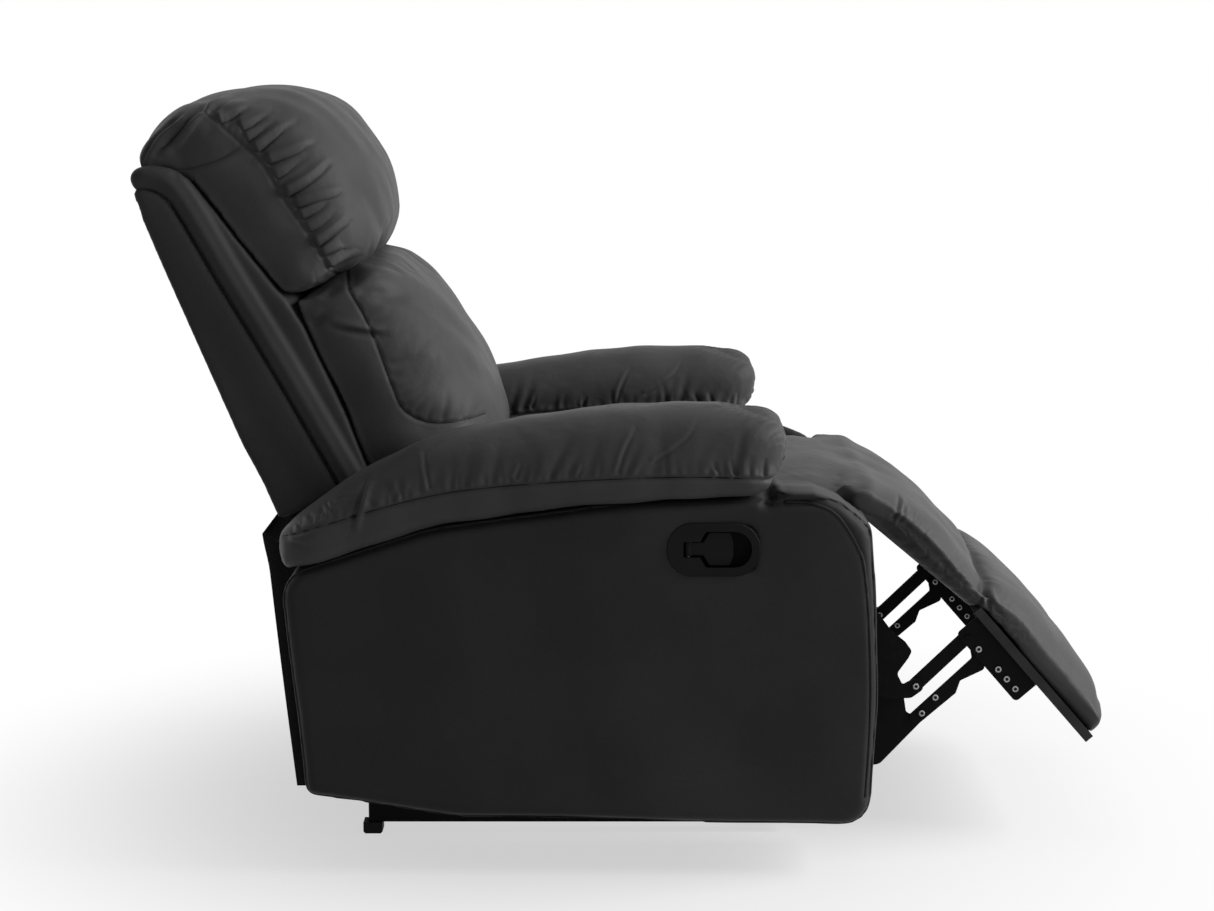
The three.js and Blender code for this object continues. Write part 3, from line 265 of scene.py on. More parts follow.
def sewing_thread():
    """Bonded nylon thread laid in a seam: a twist a millimetre long, nearly lost against the leather"""
    material, shader, place = new_material("dark seam thread")
    twist = add_node(
        material, "ShaderNodeTexWave", {"Vector": place, "Scale": 160.0, "Distortion": 1.0}
    ).outputs["Fac"]
    base = add_node(material, "ShaderNodeValToRGB", {"Fac": twist}, [(0.3, "#0c0c0c"), (0.7, "#161616")])
    set_inputs(material, shader, {
        "Base Color": base.outputs["Color"], "Roughness": 0.7, "Specular IOR Level": 0.1,
    })
    return material


dark_thread = sewing_thread()
print("leathers:", pad_leather.name, "and", panel_leather.name)


# %% [markdown]
# ## Helpers for soft pieces
#
# A filled piece starts as a copy of its CAD solid. A voxel remesh gives it an even net of small
# faces, which smoothing and a cloth simulation can shape. Seams, gathers and folds are then
# pressed in along the surface, at the places where the photograph shows them.

# %% Copy, modifier and smoothing helpers
def pick(obj):
    """Selects one object alone and makes it active"""
    bpy.ops.object.select_all(action="DESELECT")
    obj.select_set(True)
    bpy.context.view_layer.objects.active = obj


def joined(objects):
    """Joins some objects into the first of them"""
    bpy.ops.object.select_all(action="DESELECT")
    for obj in objects:
        obj.select_set(True)
    bpy.context.view_layer.objects.active = objects[0]
    bpy.ops.object.join()
    return objects[0]


def cad_copy(nodes, name):
    """One new object with the merged meshes of some CAD nodes"""
    shape = bmesh.new()
    for node in nodes:
        shape.from_mesh(frame["nodes"][node].data)
    bmesh.ops.remove_doubles(shape, verts=shape.verts, dist=0.00002)
    mesh = bpy.data.meshes.new(name)
    shape.to_mesh(mesh)
    shape.free()
    obj = bpy.data.objects.new(name, mesh)
    bpy.context.collection.objects.link(obj)
    return obj


def modified(obj, kind, **settings):
    """Adds one modifier, sets its fields and applies it"""
    modifier = obj.modifiers.new(kind.lower(), kind)
    for field, value in settings.items():
        setattr(modifier, field, value)
    pick(obj)
    bpy.ops.object.modifier_apply(modifier=modifier.name)
    return obj


def remeshed(obj, voxel, smoothing):
    """An even net of faces over the same shape, with its corners softened"""
    modified(obj, "REMESH", mode="VOXEL", voxel_size=voxel)
    return modified(obj, "SMOOTH", factor=0.5, iterations=smoothing)


# %% Reading and moving the points of a mesh
def points_of(obj, field="co"):
    """Every vertex's place, one row each"""
    rows = np.empty(len(obj.data.vertices) * 3)
    obj.data.vertices.foreach_get(field, rows)
    return rows.reshape(-1, 3)


def normals_of(obj):
    """Every vertex's normal, one row each"""
    return points_of(obj, "normal")


def move_points(obj, places):
    """Gives every vertex a new place"""
    obj.data.vertices.foreach_set("co", np.asarray(places, dtype=np.float32).ravel())
    obj.data.update()


def press(obj, heights, full_shade_depth=0.006):
    """Moves each vertex along its normal, and keeps how deep it lies in a fold, which the leather paints as shade"""
    move_points(obj, points_of(obj) + normals_of(obj) * heights[:, None])
    # Painted shade: the deeper a point is pressed in, the darker the leather paints it, up to a share of 0.4
    depth = np.clip(-heights / full_shade_depth, 0, 1) * 0.4
    attribute = obj.data.attributes.get("fold") or obj.data.attributes.new("fold", "FLOAT", "POINT")
    attribute.data.foreach_set("value", depth.astype(np.float32))
    return obj


# %% Places in a side view
def step_up(value, start, end):
    """0 before start, 1 after end, and a smooth rise between them"""
    share = np.clip((value - start) / (end - start), 0, 1)
    return share * share * (3 - 2 * share)


def on_plane(points, origin, turn):
    """Places across and up a side view that is turned by an angle in degrees about an origin"""
    across = points[:, 0] - origin[0]
    above = points[:, 2] - origin[2]
    cosine, sine = math.cos(math.radians(turn)), math.sin(math.radians(turn))
    return np.stack((across * cosine + above * sine, above * cosine - across * sine), axis=1)


def smooth_line(corners_mm, pieces=8):
    """A smooth line through some points in millimetres, as points in metres"""
    corners = np.array(corners_mm, dtype=float) / 1000
    if len(corners) < 3:
        return np.linspace(corners[0], corners[-1], pieces + 1)
    padded_corners = np.vstack((2 * corners[0] - corners[1], corners, 2 * corners[-1] - corners[-2]))
    line = []
    for before, start, end, after in zip(*(padded_corners[at:] for at in range(4))):
        for share in np.arange(pieces) / pieces:
            bend = (2 * before - 5 * start + 4 * end - after) * share**2
            twist = (3 * start - before - 3 * end + after) * share**3
            line.append(0.5 * (2 * start + (end - before) * share + bend + twist))
    return np.array(line + [corners[-1]])


def beside_line(places, line):
    """For each place: how far along a line its nearest point is, and how far to the line's left"""
    nearest = np.full(len(places), 1e9)
    along = np.zeros(len(places))
    left = np.zeros(len(places))
    travelled = 0.0
    for start, end in zip(line, line[1:]):
        run = end - start
        length = np.hypot(*run)
        offset = places - start
        share = np.clip(offset @ run / length**2, 0, 1)
        away = offset - share[:, None] * run
        distance = np.hypot(away[:, 0], away[:, 1])
        turn = run[0] * offset[:, 1] - run[1] * offset[:, 0]
        closer = distance < nearest
        nearest[closer] = distance[closer]
        along[closer] = travelled + share[closer] * length
        left[closer] = (distance * np.sign(turn))[closer]
        travelled += length
    return along, left, travelled


def beside_seam(obj, origin, turn, seam):
    """A piece's points, their places in its own side view, and how far along and left of a seam they lie"""
    points = points_of(obj)
    places = on_plane(points, origin, turn)
    along, left, _ = beside_line(places, seam)
    return points, places, along, left


# %% Seams, gathers and folds
def groove(away, depth, width):
    """A seam: the cover is pulled in along a line"""
    return -depth * np.exp(-((away / width) ** 2))


def gathers(along, away, spacing, depth, reach, seed, lean=0.0, width_share=0.24):
    """Small folds that start just past a seam and die out away from it, like a gathered cover"""
    dice = np.random.default_rng(seed)
    heights = np.zeros(len(along))
    place = spacing * dice.uniform(0.2, 0.8)
    while place < along.max():
        length = reach * dice.uniform(0.45, 1.25)
        width = spacing * width_share * dice.uniform(0.8, 1.5) * (1 + 0.7 * np.clip(away / length, 0, 1))
        strength = depth * dice.uniform(0.3, 1.0)
        slope = lean + dice.uniform(-0.25, 0.25)
        curl = dice.uniform(-0.006, 0.006) * np.clip(away / length, 0, 1) ** 2
        across = (along - place - slope * away - curl) / width
        fade = np.clip(1 - away / length, 0, 1) ** 1.2 * step_up(away, 0.0, 0.008)
        heights -= strength * (np.exp(-(across**2)) - 0.5 * np.exp(-((across - 2.0) ** 2) / 1.5)) * fade
        place += spacing * dice.uniform(0.55, 1.55)
    return heights


def fold_line(places, corners_mm, depth, width, ridge=0.5, from_seam=False):
    """One fold along a line: a crease with a soft ridge on its left, fading at its free ends"""
    along, left, length = beside_line(places, smooth_line(corners_mm, 6))
    share = along / length
    ends = np.sin(np.pi * np.clip(share, 0.02, 0.98)) ** 0.7
    if from_seam:
        ends = step_up(share, 0, 0.1) * np.clip(1 - share, 0, 1) ** 0.8
    crest = ridge * np.exp(-(((left - 2.2 * width) / (1.4 * width)) ** 2))
    return depth * ends * (crest - np.exp(-((left / width) ** 2)))


def ripples(places, length, seed, waves=18):
    """Even, smooth unevenness with no direction, from about -1 to 1"""
    dice = np.random.default_rng(seed)
    total = np.zeros(len(places))
    for _ in range(waves):
        way = dice.uniform(0, 2 * np.pi)
        wave = length * dice.uniform(0.6, 1.7)
        across = places[:, 0] * np.cos(way) + places[:, 1] * np.sin(way)
        total += np.sin(2 * np.pi * across / wave + dice.uniform(0, 2 * np.pi))
    return total / np.sqrt(waves)


def crumple(places, length, depth, seed):
    """Soft facets with sharp valleys between them, as in leather that has been pressed together"""
    first = 1 - np.abs(ripples(places, length, seed)) * 1.6
    second = 1 - np.abs(ripples(places, length * 0.55, seed + 50)) * 1.6
    return -depth * (np.clip(first, 0, 1) ** 2 + 0.5 * np.clip(second, 0, 1) ** 2)


# %% Filling a cover
filling_pressure = 4.0


def inflate(obj, sewn, slack, cap, frames=14):
    """Draws a cover in by its slack and fills it by a short cloth simulation, with its sewn points held"""
    rest = points_of(obj)
    move_points(obj, rest - normals_of(obj) * slack[:, None])
    held = obj.vertex_groups.new(name="sewn")
    held.add(np.flatnonzero(sewn).tolist(), 1.0, "REPLACE")
    modifier = obj.modifiers.new("filling", "CLOTH")
    cloth = modifier.settings
    cloth.quality = 4
    cloth.use_pressure = True
    cloth.uniform_pressure_force = filling_pressure
    cloth.effector_weights.gravity = 0
    cloth.vertex_group_mass = held.name
    modifier.collision_settings.use_collision = False
    modifier.point_cache.frame_start = 1
    modifier.point_cache.frame_end = frames
    for frame_number in range(1, frames + 1):
        bpy.context.scene.frame_set(frame_number)
    pick(obj)
    bpy.ops.object.modifier_apply(modifier=modifier.name)
    moved = points_of(obj) - rest
    distance = np.maximum(np.linalg.norm(moved, axis=1), 1e-9)
    move_points(obj, rest + moved * (cap * np.tanh(distance / cap) / distance)[:, None])
    modified(obj, "SMOOTH", factor=0.5, iterations=2)
    obj.vertex_groups.clear()
    bpy.context.scene.frame_set(1)
    outward = (moved * normals_of(obj)).sum(axis=1) * 1000
    spread = [outward.mean().round(1), outward.min().round(1), outward.max().round(1)]
    print(obj.name, "filled; mean, least and greatest move outwards, mm:", *spread)
    return obj


# %% Seam beads and piping
def side_points(line, origin, turn):
    """Points of a turned side view back in the chair's own side view"""
    cosine, sine = math.cos(math.radians(turn)), math.sin(math.radians(turn))
    x = origin[0] + line[:, 0] * cosine - line[:, 1] * sine
    z = origin[2] + line[:, 0] * sine + line[:, 1] * cosine
    return np.stack((x, z), axis=1)


clear_of_chair = 0.6
bead_corners = 6


def sew(obj, line, origin, turn, side, radius, material, sink):
    """Lays a thin bead along a line in a side view, on the surface that faces that side, and joins it on"""
    surface = BVHTree.FromObject(obj, bpy.context.evaluated_depsgraph_get())
    path, normals = [], []
    for x, z in side_points(line, origin, turn):
        place, normal, _, _ = surface.ray_cast(Vector((x, side * clear_of_chair, z)), Vector((0, -side, 0)))
        if place is not None:
            path.append(place)
            normals.append(normal)
    path = np.array(path)
    path[1:-1, 1] = (path[:-2, 1] + 2 * path[1:-1, 1] + path[2:, 1]) / 4
    return join_bead(obj, path, np.array(normals), radius, material, sink)


def join_bead(obj, path, normals, radius, material, sink):
    """A round bead along points on a surface, sunk a little into it and joined to the piece"""
    shape = bmesh.new()
    rings = []
    for index, (place, normal) in enumerate(zip(path, normals)):
        run = Vector(path[min(index + 1, len(path) - 1)] - path[max(index - 1, 0)]).normalized()
        up = Vector(normal)
        up = (up - run * up.dot(run)).normalized()
        across = run.cross(up)
        middle = Vector(place) - up * radius * sink
        angles = [2 * math.pi * corner / bead_corners for corner in range(bead_corners)]
        rings.append([
            shape.verts.new(middle + (across * math.cos(angle) + up * math.sin(angle)) * radius) for angle in angles
        ])
    for first, second in zip(rings, rings[1:]):
        for corner in range(bead_corners):
            following = (corner + 1) % bead_corners
            shape.faces.new((first[corner], first[following], second[following], second[corner]))
    shape.faces.new(list(reversed(rings[0])))
    shape.faces.new(rings[-1])
    bmesh.ops.recalc_face_normals(shape, faces=shape.faces)
    mesh = bpy.data.meshes.new("bead")
    shape.to_mesh(mesh)
    shape.free()
    mesh.materials.append(material)
    for face in mesh.polygons:
        face.use_smooth = True
    bead = bpy.data.objects.new("bead", mesh)
    bpy.context.collection.objects.link(bead)
    return joined([obj, bead])


# %% Turning a mesh into a finished soft piece
def dress(obj, material, kept_faces=1.0):
    """Takes out faces that the shape can spare, shades the rest smoothly and gives them their leather"""
    if kept_faces < 1:
        modified(obj, "DECIMATE", ratio=kept_faces)
    pick(obj)
    bpy.ops.object.shade_smooth()
    obj.data.materials.clear()
    obj.data.materials.append(material)


def declare_pad(obj, body, nodes):
    """Says what a padded piece is, what it replaces and what it moves with"""
    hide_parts(*nodes)
    if body:
        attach(obj, body)
    print(obj.name, "faces:", len(obj.data.polygons), "size, mm:", [round(side * 1000) for side in obj.dimensions])


# %% Side views of the back, the footrest and the whole chair
back_origin, back_turn = joint_place["back_recline"], 22.8
foot_origin, foot_turn = joint_place["footrest_swing"], -48.9
photo_origin = (-0.02596, 0, 0)
# The right side and the left, each with what it adds to a random seed
both_sides = ((-1, 0), (1, 5))
back_way = np.array([math.cos(math.radians(back_turn)), 0, math.sin(math.radians(back_turn))])
back_up = np.array([-math.sin(math.radians(back_turn)), 0, math.cos(math.radians(back_turn))])
foot_up = np.array([-math.sin(math.radians(foot_turn)), 0, math.cos(math.radians(foot_turn))])
print("back turned", back_turn, "and footrest turned", foot_turn, "degrees")

# %% [markdown]
# ## Head pillow
#
# A bag of fibre sewn to the top of the back. Its front panel wraps round the side and is gathered
# into a seam there, so short folds run forwards from the seam; behind it lies a flat gusset. It
# could be sculpted by hand, but a simulation of a filled bag finds the bulge between the seams by
# itself, and the folds are then pressed in where the photograph shows them.

# %% Head pillow
pillow = remeshed(cad_copy(["head_pillow"], "pillow_cover"), 0.0055, 6)
places = on_plane(points_of(pillow), back_origin, back_turn)
pillow_seam = smooth_line([
    (60, 556), (76, 526), (92, 493), (106, 460), (112, 416), (119, 380), (126, 347), (130, 300), (128, 276),
])
rear = step_up(-(normals_of(pillow) @ back_way), 0.1, 0.6) * (1 - step_up(places[:, 1], 0.47, 0.51))
inflate(pillow, rear > 0.5, 0.003 * (1 - rear), 0.012)
modified(pillow, "SUBSURF", levels=2, render_levels=2)

# %% Pillow folds
# Places in the back's own side view, in millimetres, with how deep each fold is
pillow_gathers = [
    ([(76, 527), (100, 528), (130, 532)], 5.0), ([(68, 544), (96, 548), (124, 556)], 3.5),
    ([(98, 508), (118, 509), (142, 513)], 4.5), ([(100, 494), (118, 496), (142, 500)], 3.5),
    ([(106, 476), (138, 486), (164, 489)], 5.5), ([(112, 458), (140, 457), (175, 457)], 5.5),
    ([(114, 437), (138, 440), (160, 445)], 3.5), ([(117, 412), (152, 417), (184, 428)], 8.0),
    ([(122, 395), (150, 392), (187, 386)], 5.0), ([(124, 379), (140, 380), (163, 383)], 4.0),
    ([(126, 361), (144, 363), (166, 368)], 3.5), ([(128, 339), (154, 346), (179, 353)], 7.5),
    ([(130, 327), (142, 326), (158, 327)], 3.5), ([(130, 309), (148, 309), (171, 312)], 5.0),
]
gusset_folds = [
    ([(93, 494), (83, 489), (60, 487), (36, 489), (12, 493), (-16, 507)], 0.004, 0.004, 0.3),
    ([(79, 560), (53, 550), (22, 535), (-9, 523)], 0.005, 0.0035, 0.7),
    ([(43, 556), (4, 545), (-20, 530), (-36, 515)], 0.004, 0.003, 0.7),
]
points, places, along, left = beside_seam(pillow, back_origin, back_turn, pillow_seam)
heights = 0.0012 * ripples(places + points[:, 1:2] * 0.7, 0.09, 2)
heights += 0.004 * np.exp(-(((places[:, 0] - 0.19) / 0.06) ** 2) - ((places[:, 1] - 0.50) / 0.06) ** 2)
for side, seed in both_sides:
    near = step_up(side * points[:, 1], 0.12, 0.18)
    shape = groove(left, 0.0014, 0.003) + groove(left, 0.0025, 0.018)
    shape += gathers(along, left, 0.0095, 0.0020, 0.03, 3 + seed, lean=-0.1, width_share=0.28)
    shape += gathers(along, -left, 0.016, 0.0012, 0.02, 4 + seed)
    for corners, depth in pillow_gathers:
        shape += fold_line(places, corners, depth / 1000, 0.0034, 0.9, from_seam=True)
    for corners, depth, width, ridge in gusset_folds:
        shape += fold_line(places, corners, depth, width, ridge)
    heights += near * shape
press(pillow, heights)
# The underside settles on the back and the lumbar cushion, and the rear corner tucks in behind the welt
facing = normals_of(pillow)
settled = step_up(-(facing @ back_up), 0.1, 0.6) * step_up(places[:, 0], -0.02, 0.01)
tucked = step_up(-places[:, 0], 0.025, 0.055) * (1 - step_up(places[:, 1], 0.508, 0.535))
move_points(pillow, points_of(pillow) - settled[:, None] * back_up * 0.006 + tucked[:, None] * back_way * 0.014)
dress(pillow, pad_leather, 0.5)
declare_pad(pillow, "backrest", ["head_pillow"])

# %% [markdown]
# ## Lumbar cushion
#
# It bulges under the pillow, with the same gusset at its side. Its corners are stuffed full, and
# the seam pulls only small gathers.

# %% Lumbar cushion
lumbar = remeshed(cad_copy(["lumbar_cushion"], "lumbar_cover"), 0.0045, 7)
lumbar_seam = smooth_line([
    (141, 306), (143, 270), (147, 240), (148, 201), (145, 142), (146, 108), (165, 82), (195, 66), (232, 55),
])
rear = step_up(-(normals_of(lumbar) @ back_way), 0.1, 0.6)
inflate(lumbar, rear > 0.5, 0.004 * (1 - rear), 0.012)
modified(lumbar, "SUBSURF", levels=1, render_levels=1)

# %% Lumbar folds
points, places, along, left = beside_seam(lumbar, back_origin, back_turn, lumbar_seam)
heights = 0.0012 * ripples(places + points[:, 1:2] * 0.7, 0.1, 12)
for side, seed in both_sides:
    near = step_up(side * points[:, 1], 0.13, 0.19)
    shape = groove(left, 0.002, 0.0024) + groove(left, 0.0015, 0.014)
    shape += gathers(along, left, 0.015, 0.0020, 0.05, 21 + seed, lean=0.1, width_share=0.2)
    shape += gathers(along, -left, 0.027, 0.0009, 0.02, 22 + seed)
    shape += fold_line(places, [(101, 242), (127, 223), (162, 202)], 0.004, 0.0035, 0.6)
    shape += fold_line(places, [(80, 251), (106, 254)], 0.004, 0.005, 0.4)
    shape += fold_line(places, [(142, 287), (172, 256), (208, 230)], 0.004, 0.009, 1.0)
    heights += near * shape
press(lumbar, heights)
# Its middle is stuffed up against the pillow
domed = step_up(places[:, 1], 0.235, 0.30) * step_up(places[:, 0], 0.10, 0.16)
domed = domed * (1 - step_up(np.abs(points[:, 1]), 0.06, 0.21))
move_points(lumbar, points_of(lumbar) + domed[:, None] * back_up * 0.018)
dress(lumbar, pad_leather, 0.6)
for side, _ in both_sides:
    sew(lumbar, lumbar_seam[5:], back_origin, back_turn, side, 0.0009, dark_thread, sink=0.6)
declare_pad(lumbar, "backrest", ["lumbar_cushion"])

# %% [markdown]
# ## Back shell and its rolled welt
#
# The rear of the back is a flat upholstered shell. At its front edge runs a sewn line with piping,
# and in front of it the cover of the foam core rolls round as a soft welt before it dips behind
# the cushions. Above the shell the same welt turns over the top of the back, filled by three rods.

# %% Back core
def rod(x, z, radius, length):
    """A round filler that lies across the chair"""
    bpy.ops.object.select_all(action="DESELECT")
    bpy.ops.mesh.primitive_cylinder_add(
        vertices=24, radius=radius, depth=length, location=(x, 0, z), rotation=(math.pi / 2, 0, 0)
    )
    return bpy.context.object


# How far forward of the back's axis and above it each rod lies, and its radius
welt_rods = ((-0.0385, 0.4965, 0.0115), (-0.026, 0.4955, 0.012), (-0.012, 0.487, 0.013))
welt_length = 0.474
core = cad_copy(["back_core"], "back_core_cover")
for forward, above, radius in welt_rods:
    middle = Vector(back_origin) + Vector(back_way) * forward + Vector(back_up) * above
    joined([core, rod(middle.x, middle.z, radius, welt_length)])
remeshed(core, 0.0055, 4)
modified(core, "SUBSURF", levels=1, render_levels=1)
shell_seam = smooth_line([(-53, 494), (-36, 489), (-16, 462), (-1, 347), (16, 221), (28, 114), (36, 40)])
points, places, along, left = beside_seam(core, back_origin, back_turn, shell_seam)
near = step_up(np.abs(points[:, 1]), 0.19, 0.22)
roll = 0.004 * np.exp(-(((left - 0.013) / 0.009) ** 2)) - 0.006 * step_up(left, 0.026, 0.036)
press(core, 0.0035 + near * roll, 0.02)
# The welt gets the lighter copy of the leather: painted light
dress(core, lit_back_leather, 0.4)
declare_pad(core, "backrest", ["back_core"])

# %% Back shell
shell = remeshed(cad_copy(["back_shell"], "back_shell_cover"), 0.005, 5)
points, places, along, left = beside_seam(shell, back_origin, back_turn, shell_seam)
outside = step_up(np.abs(points[:, 1]), 0.225, 0.235)
rear = 1 - step_up(left, -0.05, -0.02)
# The rear is full, but drawn in at the bottom, where it dips behind the rear cloth when the back leans
full = 0.0015 + 0.0045 * step_up(places[:, 1], 0.08, 0.16)
move_points(shell, points - back_way * (full * rear)[:, None])
press(shell, 0.003 * outside * (1 - rear) + outside * groove(left + 0.003, 0.0025, 0.003), 0.05)
# The shell gets the lighter copy of the leather: painted light
dress(shell, lit_back_leather)
for side, _ in both_sides:
    seam = shell_seam[4:-1] - np.array([0.003, 0])
    sew(shell, seam, back_origin, back_turn, side, 0.0012, dark_thread, sink=0.0)
declare_pad(shell, "backrest", ["back_shell"])

# %% [markdown]
# ## Seat and footrest
#
# The chaise pad runs from the seat over the front edge and down the footrest without a break, so
# one piece covers both CAD solids and bends over the footrest's axis. A filler under the skin
# closes the narrow gap that the two solids leave for the hinge.

# %% Seat and footrest cover
chaise = cad_copy(["seat_cushion", "footrest_pad"], "chaise_cover")
hinge_x, _, hinge_z = foot_origin
joined([chaise, rod(hinge_x - 0.016, hinge_z + 0.008, 0.021, 0.452)])
remeshed(chaise, 0.0048, 9)
side_seam = smooth_line([
    (-8, -22), (18, -5), (40, 8), (82, 14), (125, 17), (160, 22), (200, 28), (300, 34), (420, 44),
])
points, places, along, left = beside_seam(chaise, foot_origin, foot_turn, side_seam)
facing = normals_of(chaise)
leg = step_up(places[:, 0], -0.14, 0.04)
outward = np.clip((np.abs(points[:, 1]) - 0.17) / 0.07, 0, 1)
rolled = 0.024 * (1 - np.sqrt(1 - 0.96 * outward**2)) * step_up(left, -0.012, 0.022)
tucked = 0.010 * step_up(-left, -0.002, 0.024) * step_up(np.abs(points[:, 1]), 0.15, 0.236)
points -= (leg * rolled)[:, None] * foot_up
points[:, 1] -= np.sign(points[:, 1]) * leg * tucked
# The end of the pad is cut straight: its top draws back and its lower edge reaches forwards
foot_way = np.cross([0, 1, 0], foot_up)
reach = 0.009 * (1 - step_up(left, -0.03, 0.0)) - 0.006 * step_up(left, 0.0, 0.03)
points += (reach * step_up(places[:, 0], 0.37, 0.42))[:, None] * foot_way
move_points(chaise, points)
under = np.maximum(step_up(-facing[:, 2], -0.1, 0.3), step_up(-(facing @ foot_up), 0, 0.4))
under = np.maximum(under, step_up(-points[:, 0], 0.15, 0.18))
under = np.maximum(under, step_up(np.abs(facing[:, 1]), 0.5, 0.9))
inflate(chaise, under > 0.5, 0.007 * (1 - under), 0.008, frames=10)
modified(chaise, "SUBSURF", levels=1, render_levels=1)

# %% Seat and footrest folds
# Places in the footrest's own side view, in millimetres, with each fold's depth, width and ridge
chaise_folds = [
    ([(28, 36), (33, 26), (42, 6)], 0.0035, 0.0024, 0.6), ([(38, 30), (44, 20), (48, 10)], 0.0022, 0.0022, 0.6),
    ([(190, 44), (198, 34), (214, 24)], 0.0035, 0.003, 0.8), ([(194, 40), (208, 34), (230, 34)], 0.003, 0.0026, 0.8),
    ([(192, 38), (194, 26), (204, 12)], 0.003, 0.0026, 0.8),
]
points, places, along, left = beside_seam(chaise, foot_origin, foot_turn, side_seam)
facing = normals_of(chaise)
top = step_up(facing @ foot_up, 0.1, 0.5)
channel = places[:, 0] - 0.172 - 0.016 * (points[:, 1] / 0.22) ** 2
fuller = 0.004 * step_up(places[:, 0], 0.0, 0.06) * (1 - step_up(places[:, 0], 0.15, 0.18))
heights = top * (fuller + groove(channel, 0.006, 0.006))
heights += top * groove(channel + 0.002, 0.005, 0.016)
surface_places = np.stack((places[:, 0], points[:, 1]), axis=1)
heights += 0.0010 * top * ripples(surface_places, 0.11, 31)
heights += top * step_up(places[:, 0], 0.12, 0.17) * gathers(
    points[:, 1] + 0.25, np.abs(channel), 0.026, 0.0018, 0.03, 33, width_share=0.2
)
for side, seed in both_sides:
    near = step_up(side * points[:, 1], 0.185, 0.21)
    crinkled = step_up(places[:, 0], 0.015, 0.05) * (1 - step_up(places[:, 0], 0.25, 0.30))
    band = np.exp(-((left / 0.02) ** 2))
    shape = crinkled * band * crumple(places, 0.020, 0.0013, 41 + seed)
    shape += crinkled * gathers(along, left, 0.010, 0.0020, 0.022, 43 + seed, lean=0.3, width_share=0.26)
    shape += crinkled * gathers(along, -left, 0.012, 0.0013, 0.018, 44 + seed, lean=-0.2, width_share=0.26)
    for corners, depth, width, ridge in chaise_folds:
        shape += fold_line(places, corners, depth, width, ridge)
    heights += near * shape
press(chaise, heights)
# The underside of the footrest pad lies flat on its board
places = on_plane(points_of(chaise), foot_origin, foot_turn)
settled = step_up(-(normals_of(chaise) @ foot_up), 0.2, 0.7) * step_up(places[:, 0], 0.26, 0.30)
move_points(chaise, points_of(chaise) - settled[:, None] * foot_up * 0.003)
dress(chaise, pad_leather, 0.5)
declare_pad(chaise, None, ["seat_cushion", "footrest_pad"])
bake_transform(chaise)

# %% [markdown]
# ## Arms
#
# Each arm is a boxed panel with a gathered pad sewn on top. The pad has a plain band along its
# bottom edge, the boxing, and its roll is gathered into the seam above that band.

# %% Arm pads
arm_seam = smooth_line([
    (-402, 420), (-372, 432), (-319, 449), (-250, 469), (-177, 484), (-69, 494), (52, 500), (148, 500), (214, 495),
])
rear_seam = smooth_line([(-400, 415), (-390, 434), (-378, 450), (-352, 466), (-330, 472)])
end_seam = smooth_line([(140, 586), (174, 575), (205, 562), (217, 541), (216, 514), (209, 488)])
# How far from the middle of the chair the middle of an arm pad lies
arm_middle = 0.321
# Places in the side view, in millimetres, with how deep each fold is
arm_gathers = [
    ([(-213, 484), (-219, 515), (-222, 533)], 1.7), ([(-111, 497), (-106, 508), (-102, 520)], 2.0),
    ([(-36, 500), (-32, 508), (-29, 518)], 2.0), ([(13, 503), (22, 533), (37, 561)], 1.8),
    ([(52, 516), (94, 545), (112, 570)], 1.4), ([(136, 503), (131, 512), (127, 522)], 2.4),
    ([(157, 502), (152, 512), (148, 523)], 2.4), ([(190, 500), (190, 510), (190, 523)], 2.4),
]
for name, side in (("right", -1), ("left", 1)):
    pad = remeshed(cad_copy([f"arm_pad_{name}"], f"arm_pad_cover_{name}"), 0.0055, 5)
    points, places, along, left = beside_seam(pad, photo_origin, 0, arm_seam)
    under = np.maximum(step_up(-normals_of(pad)[:, 2], 0.1, 0.6), 1 - step_up(left, 0.0, 0.012))
    inflate(pad, under > 0.5, 0.004 * (1 - under), 0.008, frames=12)
    modified(pad, "SUBSURF", levels=2, render_levels=2)
    points, places, along, left = beside_seam(pad, photo_origin, 0, arm_seam)
    outward = np.abs(points[:, 1] - side * arm_middle)
    near = step_up(outward, 0.03, 0.055)
    shape = groove(left, 0.003, 0.0032)
    shape += gathers(along, left, 0.0125, 0.0024, 0.036, 60 + side, lean=0.1, width_share=0.22)
    shape += gathers(along, left, 0.034, 0.003, 0.06, 70 + side, lean=0.35, width_share=0.12)
    shape += fold_line(places, [(-291, 497), (-302, 466), (-309, 436)], 0.0035, 0.003, 0.9)
    for corners, depth in arm_gathers:
        shape += fold_line(places, corners, depth / 1000, 0.0024, 0.8, from_seam=True)
    behind, into, _ = beside_line(places, rear_seam)
    shape += gathers(behind, -into, 0.011, 0.003, 0.045, 85 + side, lean=0.5, width_share=0.24)
    heights = near * shape + 0.0008 * ripples(points[:, :2], 0.08, 90 + side)
    around, past, _ = beside_line(places, end_seam)
    above_band = step_up(places[:, 1], 0.488, 0.496)
    scallop = 0.0014 * np.sin(2 * np.pi * (around + outward) / 0.013)
    heights += above_band * groove(past + scallop, 0.003, 0.003)
    heights += above_band * gathers(
        around + 0.7 * outward, -past, 0.0125, 0.0013, 0.028, 95 + side, lean=0.2, width_share=0.22
    )
    press(pad, heights)
    full_end = step_up(places[:, 0], 0.15, 0.20) * step_up(places[:, 1], 0.51, 0.545)
    move_points(pad, points_of(pad) + full_end[:, None] * np.array([0.005, 0, 0.002]))
    dress(pad, pad_leather, 0.55)
    sew(pad, arm_seam[2:-2], photo_origin, 0, side, 0.0009, dark_thread, sink=0.6)
    declare_pad(pad, "body", [f"arm_pad_{name}"])


# %% Arm boxes
# How far the top of the arm's front lies below the solid, along X, as the photograph shows it
drop_places = [0.148, 0.162, 0.178, 0.192, 0.225, 0.239, 0.252, 0.264, 0.273, 0.283, 0.289, 0.295, 0.302]
drop_depths = [0.0, 0.003, 0.012, 0.018, 0.019, 0.024, 0.028, 0.030, 0.033, 0.031, 0.027, 0.016, 0.0]


# The left arm's outer edge lies further down and the right arm's a little further up
left_fall, right_rise = 0.022, 0.005


